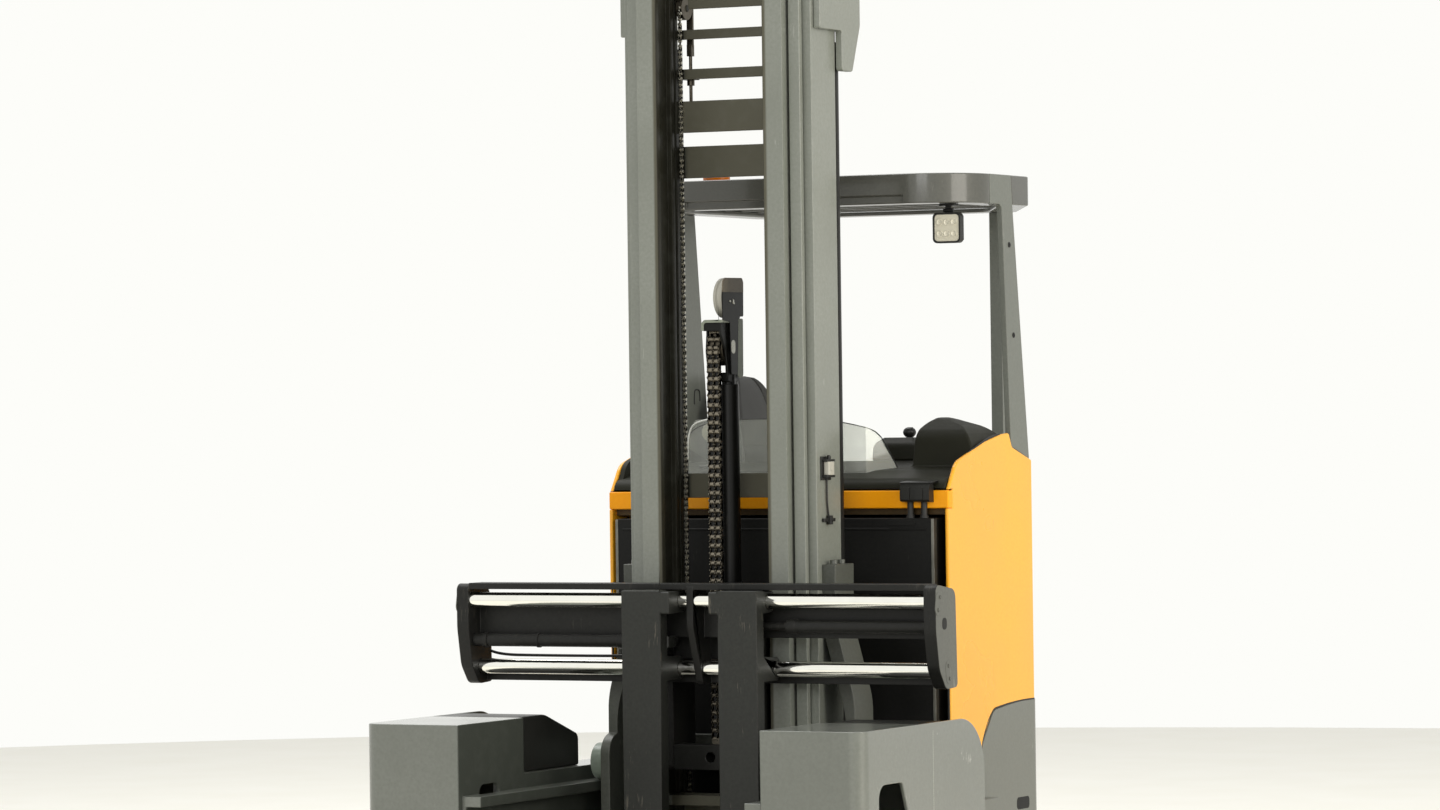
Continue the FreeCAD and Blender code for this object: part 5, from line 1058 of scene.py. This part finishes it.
# %% Beacon's base
beacon_low, beacon_high = corners_mm("beacon")
beacon_x = (beacon_low.x + beacon_high.x) / 2
beacon_y = (beacon_low.y + beacon_high.y) / 2
LENS_HEIGHT = 90.0
lens_foot = beacon_high.z - LENS_HEIGHT - 0.5
base_top = lens_foot - beacon_low.z
bm = bmesh.new()
spin(bm, (beacon_x, beacon_y, beacon_low.z), "z",
     [(0, 0), (30, 0), (30, 4), (26, 6), (26, base_top - 24), (44, base_top - 20), (47.5, base_top - 14),
      (47.5, base_top - 2), (43, base_top), (0, base_top)], 48)
block(bm, beacon_x - 45, beacon_x + 45, beacon_y - 30, beacon_y + 30, beacon_low.z, beacon_low.z + 6, 8)
base = piece("beacon_base", bm, SMOOTH_BLACK, "chassis", 0.8)
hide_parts("beacon")
print("beacon base height", round(base_top, 1), "mm")

# %% Ribbed lens
BEACON_RIBS = 36
RIB_SHARE = 0.965       # radius in the grooves, as a share of the ribs'
bm = bmesh.new()
rows = [(39.5, 0), (41, 4), (41, LENS_HEIGHT - 18), (39, LENS_HEIGHT - 8), (33, LENS_HEIGHT - 2),
        (18, LENS_HEIGHT), (0, LENS_HEIGHT)]
spin(bm, (beacon_x, beacon_y, lens_foot), "z", rows, BEACON_RIBS * 2)
bm.verts.ensure_lookup_table()
for ring in range(1, 4):
    for k in range(0, BEACON_RIBS * 2, 2):
        vert = bm.verts[ring * BEACON_RIBS * 2 + k]
        middle = Vector((beacon_x * MM, beacon_y * MM, vert.co.z))
        vert.co = middle + (vert.co - middle) * RIB_SHARE
piece("beacon_lens", bm, AMBER, "chassis")

# %% [markdown]
# ## Lever
# The lift lever has a ball grip on a pleated rubber boot.  Both are round about the same upright
# axis, so both are spun from a profile; the boot's pleats come from a short loop.

# %% Lever's boot
stick_low, stick_high = corners_mm("joystick")
stick_x = (stick_low.x + stick_high.x) / 2
stick_y = (stick_low.y + stick_high.y) / 2
bm = bmesh.new()
pleats = [(20, 0), (20, 2.0)]
for fold in range(4):
    pleats += [(18 - 2.6 * fold, 3.4 + 2.6 * fold), (19 - 2.6 * fold, 4.6 + 2.6 * fold)]
spin(bm, (stick_x, stick_y, stick_low.z), "z", [(0, 0)] + pleats + [(8, 14), (0, 14)], 40)
lever = piece("lever_boot", bm, RUBBER, "chassis")
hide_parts("joystick")

# %% Lever's grip
bm = bmesh.new()
GRIP = [(7.0, 10), (7.5, 14), (13.5, 18), (18.2, 23.5), (20, 29), (19.4, 34.5), (16.5, 40), (11, 44.2),
        (4, 46), (0, 46)]
spin(bm, (stick_x, stick_y, stick_low.z), "z", [(0, 10)] + GRIP, 40)
spin(bm, (stick_x + 4, stick_y + 5, stick_low.z + 44), "z",
     [(0, 0), (5, 0), (5, 1.6), (4, 2.0), (0, 2.0)], 20)
piece("lever_grip", bm, SMOOTH_BLACK, "chassis")

# %% [markdown]
# ## Battery plug
# The plug hangs in a bracket over the yellow band, and its two stiff leads drop through moulded
# sleeves to the battery's top.  So little of them shows that they hang straight: a spun sleeve
# with a flared foot does for each.

# %% Battery plug
plug_low, plug_high = corners_mm("battery_plug")
plug_x = (plug_low.x + plug_high.x) / 2
face_y = plug_high.y
bm = bmesh.new()
push(bm, [(face_y - 2, plug_high.z), (face_y - 24, plug_high.z, 6), (face_y - 33, plug_high.z - 18, 8),
          (face_y - 33, plug_low.z + 4, 6), (face_y - 14, plug_low.z, 6), (face_y - 0.4, plug_low.z)],
     "x", plug_x - 50, plug_x + 44)
push(bm, [(face_y - 26, plug_high.z - 3, 3), (face_y + 20, plug_high.z + 2, 4),
          (face_y + 20, plug_high.z + 6, 2), (face_y - 28, plug_high.z + 2, 3)],
     "x", plug_x - 54, plug_x + 52)
for x in (plug_x - 30, plug_x + 12):
    push(bm, [(x - 12, plug_low.z + 8, 3), (x + 12, plug_low.z + 8, 3), (x + 12, plug_high.z - 12, 3),
              (x - 12, plug_high.z - 12, 3)], "y", face_y - 37, face_y - 30)
plug = piece("plug_housing", bm, SMOOTH_BLACK, "chassis", 1.2)
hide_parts("battery_plug")

# %% Sleeves of its two leads
SLEEVE_R = 9.5
battery_low, battery_high = corners_mm("battery")
drop = plug_low.z + 6 - battery_high.z
bm = bmesh.new()
for x in (plug_x - 30, plug_x + 14):
    spin(bm, (x, battery_low.y + 22, battery_high.z + 0.3), "z",
         [(0, 0), (SLEEVE_R + 4, 0), (SLEEVE_R + 3, 5), (SLEEVE_R, 9), (SLEEVE_R, drop - 0.4),
          (0, drop - 0.4)], 24)
piece("lead_sleeves", bm, RUBBER, "chassis")

# %% [markdown]
# ## Battery trim
# The battery is a folded steel trough: bare angle strips guard its upright corners, a folded rim
# runs round its top, and seams part the sheets of its front.  All of it stands a millimetre or
# two proud of the CAD block, which is enough for an edge to catch the light.

# %% Corner strips
STRIP_PROUD = 1.6
STRIP_FACE = 7
STRIP_FOOT = 470        # height in mm where strips and seams begin
bm = bmesh.new()
for way in (-1, 1):
    edge = way * battery_high.x
    push(bm, [(edge - way * STRIP_FACE, battery_low.y - STRIP_PROUD),
              (edge - way * STRIP_FACE, battery_low.y), (edge, battery_low.y),
              (edge, battery_low.y + 20), (edge + way * STRIP_PROUD, battery_low.y + 20),
              (edge + way * STRIP_PROUD, battery_low.y - STRIP_PROUD)],
         "z", STRIP_FOOT, battery_high.z - 2)
piece("battery_corner_strips", bm, WORN_EDGE, "chassis", 0.5)

# %% Folded rim, seams and the plates under the rim
SEAM_X = 182
RIM_PLATE_X = 420
bm = bmesh.new()
push(bm, [(battery_low.y - 2.2, battery_high.z - 34), (battery_low.y - 2.2, battery_high.z - 30),
          (battery_low.y, battery_high.z - 28), (battery_low.y, battery_high.z - 36)], "x",
     battery_low.x + 22, battery_high.x - 22)
for x in (-SEAM_X, SEAM_X):
    push(bm, [(x - 2, battery_low.y - 1.5), (x + 2, battery_low.y - 1.5), (x + 3, battery_low.y),
              (x - 3, battery_low.y)], "z", STRIP_FOOT + 4, battery_high.z - 38)
for x in (-RIM_PLATE_X, RIM_PLATE_X):
    push(bm, [(x - 45, battery_high.z - 22, 6), (x + 45, battery_high.z - 22, 6),
              (x + 45, battery_high.z - 6, 6), (x - 45, battery_high.z - 6, 6)],
         "y", battery_low.y - 3, battery_low.y - 0.2)
piece("battery_seams", bm, BATTERY_BLACK, "chassis", 0.8)

# %% [markdown]
# ## Rubber edging and weld beads
# A black rubber edging closes the gap between the yellow panels and their neighbours.  It is
# pressed on by hand and follows the panel's curves, so it is a tube along a few points: one line
# up the panel's front and over its shoulder, one along its lower edge.  Each leg shows the bead
# that joins its box to its beam, which is a row of small overlapping ripples.

# %% Rubber edging of the side panels
# Front line as (height, depth behind the panel's front); lower line as (depth, height).
panel_low, panel_high = corners_mm("side_panel_right")
PANEL_EDGE = [(363, 0), (1216, 0), (1256, 26), (1318, 60), (1350, 120), (1394, 265), (1410, 330),
              (1413, 376)]
SILL_EDGE = [(927, 620.2), (842, 620.2), (735, 614.5), (640, 606), (606, 589), (568, 545), (549, 512)]
for side, way in (("left", -1), ("right", 1)):
    inside = way * (panel_high.x - 7)
    points = [(inside, panel_low.y + 1 + y, z) for z, y in PANEL_EDGE]
    steel_tube("panel_edging_" + side, points, 4.0, RUBBER, "chassis")
    low_line = [(way * (panel_high.x - 2.5), y, z) for y, z in SILL_EDGE]
    steel_tube("sill_seal_" + side, low_line, 3.2, RUBBER, "chassis")

# %% Weld beads of the legs
BEAD_Y = -277.0
BEAD_FOOT = 112         # height in mm of the lowest ripple
RIPPLES = 96
RIPPLE_PITCH = 5.1
leg_high = corners_mm("leg_right")[1]
bm = bmesh.new()
for way in (-1, 1):
    for ripple in range(RIPPLES):
        spin(bm, (way * leg_high.x - way * 1.2, BEAD_Y, BEAD_FOOT + ripple * RIPPLE_PITCH), "z",
             [(0, -3.2), (1.6, -2.0), (2.1, 0), (1.6, 2.0), (0, 3.2)], 8)
piece("leg_welds", bm, BEAD_HIGHLIGHT_GREY, "chassis")

# %% [markdown]
# ## Fork carriage fittings
# Round end caps hold the two chromed bars in the end plates; each has two screws.  A thin steel
# tube feeds the left positioner, whose barrel has two clamp rings.  The end plates are the widest
# part of the carriage and the first to be scraped, so each gets a worn face of its own.

# %% Worn faces of the end plates
END_FACE = [(-216.5, 1002, 20), (-87, 985, 30), (-79, 710, 14), (-154, 706, 30), (-196, 762, 60),
            (-216.5, 870, 150)]
plate_high = corners_mm("fork_carriage")[1]
bm = bmesh.new()
for way in (-1, 1):
    low, high = sorted((plate_high.x * way - way * 1.0, plate_high.x * way + way * 0.8))
    push(bm, END_FACE, "x", low, high, 8)
piece("end_plate_faces", bm, EDGE_PLATE, "fork_frame", 0.4)

# %% Caps over the bars' ends
# Each cap leans as the plate's outline does beside it, lean being how far its foot is shifted.
BAR_RADIUS = 22.5
bar_low, bar_high = corners_mm("fork_bars")
UPPER_BAR = (bar_low.y + BAR_RADIUS, bar_high.z - BAR_RADIUS)
LOWER_BAR = (bar_high.y - BAR_RADIUS, bar_low.z + BAR_RADIUS)
bm = bmesh.new()
for way in (-1, 1):
    for (y, z), lean in ((UPPER_BAR, -14), (LOWER_BAR, 10)):
        cap = [(y - 23 + lean, z - 38, 20), (y + 23 + lean, z - 38, 20), (y + 23, z + 30, 20),
               (y - 23, z + 30, 20)]
        outer = plate_high.x * way
        low, high = sorted((outer - way * 1.0, outer + way * 1.5))
        push(bm, cap, "x", low, high, 8)
        for u, v in ((y + lean * 0.8, z - 22), (y, z + 14)):
            spin(bm, (outer + way * 1.7, u, v), "x", [(0, 0), (5.5, 0), (5.5, way * 1.6), (4.5, way * 2.4),
                                                      (2.4, way * 2.4), (0, way * 1.0)], 20)
piece("bar_end_caps", bm, EDGE_PLATE, "fork_frame", 0.5)

# %% Slots in the end plates
# The slots are a thin piece in the unlit black, the painted shade of their depth.
bm = bmesh.new()
for way in (-1, 1):
    outer = plate_high.x * way
    low, high = sorted((outer - way * 4.0, outer + way * 1.2))
    push(bm, [(-177, 874, 12), (-147, 874, 12), (-147, 907, 12), (-177, 907, 12)], "x", low, high, 6)
piece("end_plate_slots", bm, SHADOW, "fork_frame")

# %% Rings on the left positioner's barrel
BARREL = (-177.5, 835.0)    # its axis as (y, z)
BARREL_RADIUS = 19.0
bm = bmesh.new()
for x, width, radius in ((-524, 9, 21.5), (-700, 14, 22.5)):
    spin(bm, (x, *BARREL), "x",
         [(BARREL_RADIUS, 0), (radius, 0.8), (radius, width - 0.8), (BARREL_RADIUS, width)], 40)
piece("barrel_rings", bm, BLACK, "fork_frame")

# %% Feed tube of the positioner
FEED = [(-728, -100, 800), (-700, -100, 788), (-560, -100, 787), (-400, -100, 787), (-250, -100, 788),
        (-205, -100, 796), (-196, -100, 825)]
steel_tube("positioner_tube", FEED, 4.2, BLACK, "fork_frame")

# %% [markdown]
# ## Height sensor
# On the mast's outer side sit a small height sensor in a black bracket, and a cable clip under
# it, with a thin sheath between the two.  They are a hand's breadth high in all, so rounded
# blocks and a turned nose say enough.

# %% Height sensor and its bracket
side_x = corners_mm("outer_mast")[1].x
bm = bmesh.new()
block(bm, side_x + 0.2, side_x + 20, 22, 74, 1300, 1306, 2)
block(bm, side_x + 0.2, side_x + 20, 22, 74, 1346, 1352, 2)
block(bm, side_x + 0.2, side_x + 4, 16, 80, 1292, 1360, 2)
spin(bm, (side_x + 12, 48, 1352), "z", [(0, 0), (5, 0), (5, 10), (3, 12), (0, 12)], 16)
piece("sensor_bracket", bm, SMOOTH_BLACK, "reach_frame", 0.8)
bm = bmesh.new()
block(bm, side_x + 4, side_x + 22, 30, 66, 1307, 1345, 4)
spin(bm, (side_x + 22, 48, 1326), "x", [(9, 0), (9, 1.4), (7, 1.8), (0, 1.2)], 24)
piece("height_sensor", bm, POLYAMIDE, "reach_frame", 0.8)

# %% Cable clip and sheath
bm = bmesh.new()
block(bm, side_x + 0.2, side_x + 9, 22, 96, 1172, 1182, 3)
block(bm, side_x + 0.2, side_x + 16, 50, 66, 1164, 1190, 3)
spin(bm, (side_x + 16, 58, 1177), "x", [(5.5, 0), (5.5, 2.4), (4.2, 3.6), (0, 3.6)], 6)
piece("cable_clip", bm, SMOOTH_BLACK, "reach_frame", 0.6)
SHEATH = [(side_x + 5, 48, 1298), (side_x + 5, 48, 1260), (side_x + 4.5, 50, 1225),
          (side_x + 4.5, 56, 1200), (side_x + 4.5, 58, 1190)]
steel_tube("sensor_tube", SHEATH, 2.6, RUBBER, "reach_frame")

# %% [markdown]
# ## Bolts, rollers and hubs
# A turned face tells what a plain disc does not: where the bearing sits, where the tyre's rim
# ends and that a wheel is bolted on.  Each face is one profile of (radius, height) spun about the
# wheel's own axis, and it rides on the body that turns.

# %% Bolts of the guard posts
# The bolts take the unlit black of a recess, a painted shade.
POST_FACE_X = 555.8
bm = bmesh.new()
for y, z in ((795, 1978), (818, 1709)):
    for way in (-1, 1):
        spin(bm, (way * POST_FACE_X, y, z), "x",
             [(0, 0), (8, 0), (8, way * 1.6), (6.4, way * 2.6), (3.2, way * 2.6), (3.2, way * 0.8),
              (0, way * 0.8)], 24)
piece("post_bolts", bm, SHADOW, "chassis")

# %% Reach roller faces
ROLLER_YS = (29.5, 235.5)
ROLLER_RADIUS = 54
roller_high = corners_mm("reach_rollers")[1]
bm = bmesh.new()
for way in (-1, 1):
    for y in ROLLER_YS:
        spin(bm, (way * (roller_high.x - 0.3), y, roller_high.z - ROLLER_RADIUS), "x",
             [(0, 0), (46, 0), (46, way * 1.2), (40, way * 1.2), (38, way * 0.2), (22, way * 0.2),
              (20, way * 4.0), (12, way * 4.0), (10, way * 2.0), (0, way * 2.0)], 48)
piece("roller_caps", bm, ROLLER_GREY, "reach_frame")

# %% Load wheel hubs
for side, way in (("left", -1), ("right", 1)):
    hub_low, hub_high = corners_mm("load_wheel_" + side)
    middle = (hub_low + hub_high) / 2
    bm = bmesh.new()
    for face in (-1, 1):
        reach = (hub_high.x - hub_low.x) / 2
        spin(bm, (middle.x + face * (reach - 2), middle.y, middle.z), "x",
             [(17, 0), (92, 0), (92, face * 3.0), (88, face * 4.0), (52, face * 2.4), (46, face * 6.0),
              (20, face * 6.0), (17, face * 4.0)], 48)
    piece("load_hub_" + side, bm, BRIGHT_STEEL, "load_roller_" + side)

# %% Drive wheel hub and its bolts
HUB_BOLTS = 8
BOLT_CIRCLE = 60        # radius in mm
drive_low, drive_high = corners_mm("drive_wheel")
middle = (drive_low + drive_high) / 2
bm = bmesh.new()
for bolt in range(HUB_BOLTS):
    turn = 2 * math.pi * bolt / HUB_BOLTS
    spin(bm, (drive_low.x - 0.4, middle.y + BOLT_CIRCLE * math.cos(turn),
              middle.z + BOLT_CIRCLE * math.sin(turn)), "x",
         [(0, 0), (9, 0), (9, -5), (7, -6.5), (0, -6.5)], 6)
spin(bm, (drive_low.x + 2, middle.y, middle.z), "x",
     [(0, -2), (120, -2), (120, -4.4), (112, -5.4), (84, -3), (0, -3)], 48)
piece("drive_hub", bm, BRIGHT_STEEL, "drive_roller")

# %% [markdown]
# ## Free lift head
# The head of the free lift rod carries the chain's pulley and the hoses' wheel.  A strap runs
# over them, a plate and a cheek close their side, and a guard keeps the chain on its wheel.  The
# wheel is cast with a pale rim.  These are thin folded plates, so each is its outline pushed
# through a few millimetres, in the coat that it has on the truck.

# %% Hose wheel rim
hose_low, hose_high = corners_mm("hose_pulley")
hose_y = (hose_low.y + hose_high.y) / 2
hose_z = (hose_low.z + hose_high.z) / 2
bm = bmesh.new()
spin(bm, (hose_low.x - 0.2, hose_y, hose_z), "x",
     [(9.5, 0), (57.6, 0), (57.6, -2.0), (53, -3.2), (46, -1.0), (22, -1.0), (18, -4.0), (9.5, -4.0)], 56)
piece("hose_wheel_rim", bm, POLYAMIDE, "free_rod")

# %% Boss and screws
rod_low, rod_high = corners_mm("free_lift_rod")
bm = bmesh.new()
push(bm, [(8, 1660, 12), (34, 1660, 12), (34, 1700, 12), (8, 1700, 12)],
     "x", rod_high.x - 0.2, rod_high.x + 3, 8)
piece("guard_boss", bm, BRIGHT_STEEL, "free_rod", 0.8)
bm = bmesh.new()
for y, z, radius in ((4, 1812, 4.5), (22, 1812, 8.0), (28, 1806, 4.0)):
    spin(bm, (rod_high.x - 0.2, y, z), "x",
         [(0, 0), (radius, 0), (radius, 3.0), (radius * 0.7, 4.4), (0, 4.4)], 16)
piece("guard_screws", bm, BRIGHT_STEEL, "free_rod")

# %% Strap and plate
strap_x = rod_high.x + 0.3
STRAP = [(-42, 1838), (-42, 1868, 12), (-30, 1879.5, 8), (82, 1880.5, 10), (89, 1868, 8), (89, 1838)]
bm = bmesh.new()
push(bm, STRAP, "x", strap_x, strap_x + 2.6)
piece("strap_top", bm, OLIVE, "free_rod", 0.6)
PLATE = [(-42, 1838), (89, 1838), (88, 1768, 6), (60, 1768), (52, 1600, 4), (8, 1600, 4), (2, 1752),
         (-44, 1757, 4)]
bm = bmesh.new()
push(bm, PLATE, "x", strap_x, strap_x + 2.2)
piece("strap_plate", bm, OILY_BLACK, "free_rod", 0.6)

# %% Cheek and chain guard
bm = bmesh.new()
push(bm, [(56, 1762, 6), (84, 1762, 6), (82, 1590, 14), (48, 1590, 14)], "x", strap_x + 0.1, strap_x + 2.8)
piece("cheek_face", bm, GREY_GREEN, "free_rod", 0.6)
guard_y = rod_low.y - 0.4
bm = bmesh.new()
push(bm, [(-46, 1727), (-46, 1749, 10), (-36, 1758.5, 8), (rod_high.x + 1, 1758.5, 3),
          (rod_high.x + 1, 1750), (-34, 1750, 6), (-38, 1744, 4), (-38, 1727)],
     "y", guard_y - 2, guard_y + 52)
piece("chain_guard_edge", bm, GREY_GREEN, "free_rod", 0.6)

# %% [markdown]
# ## Dash details
# A round knob stands on a thin stalk beside the lever.  On the left the dash cover rises to a
# moulded wing that closes the gap to the side panel, with a thin lip that follows its fall: one
# outline pushed sideways makes each.

# %% Dash knob
bm = bmesh.new()
spin(bm, (-278, 446, 1431), "y", [(0, 0), (24, 0), (26, 3), (26, 12), (22, 17), (0, 18)], 40)
piece("dash_knob", bm, CREAM, "chassis")
bm = bmesh.new()
push(bm, [(440, 1330, 6), (452, 1330, 6), (456, 1446, 4), (446, 1450, 4)], "x", -281, -275)
push(bm, [(430, 1322), (470, 1322), (470, 1334, 6), (430, 1334, 6)], "x", -306, -250)
piece("knob_stalk", bm, SMOOTH_BLACK, "chassis", 1.0)

# %% Dash wing
band_low, band_high = corners_mm("front_band")
inside = -(panel_high.x - 12.5)
WING = [(band_low.y + 6, 1250), (band_low.y + 22, 1262, 20), (band_low.y + 66, 1343, 60), (600, 1397, 200),
        (708, 1420, 120), (768, 1424, 12), (790, 1382, 22), (928, 1341), (928, 1250)]
WING_LIP = [(771, 1414), (790, 1378, 22), (929, 1337), (929, 1342), (790, 1384, 22), (773, 1420)]
bm = bmesh.new()
push(bm, WING, "x", inside, inside + 16)
push(bm, WING_LIP, "x", inside - 12.5, inside + 1)
piece("dash_wing", bm, GRAINED_BLACK, "chassis", 1.0)

# %% [markdown]
# ## Band lip, jack recess and post slot
# Three dark marks finish the body: the shaded rear lip of the orange band, the pocket for a jack
# in the chassis side, and the slot that is cut in the left guard post.  The real ones are holes
# or faces in deep shade; a thin dark piece on the CAD surface reads the same and leaves the CAD
# solid whole.

# %% Band lip
bm = bmesh.new()
push(bm, [(band_high.y - 7.5, band_low.z - 0.4), (band_high.y - 6.2, band_low.z - 0.4),
          (band_high.y - 6.2, band_low.z + 17.6), (band_high.y - 7.5, band_low.z + 17.6)], "x", -546, 546)
piece("band_lip_face", bm, BAND_LIP_SHADE, "chassis")

# %% Jack recess and post slot
bm = bmesh.new()
push(bm, [(790, 296, 12), (880, 296, 12), (880, 332, 12), (790, 332, 12)], "x", 559.2, 560.4, 8)
piece("jack_recess", bm, SHADOW, "chassis")
SLOT_LINE = [(851, 1516), (851, 1550), (856, 1561), (883, 1561), (888, 1550), (888, 1526)]
steel_tube("post_slot", [(-538.2, y, z) for y, z in SLOT_LINE], 2.4, SHADOW, "chassis")
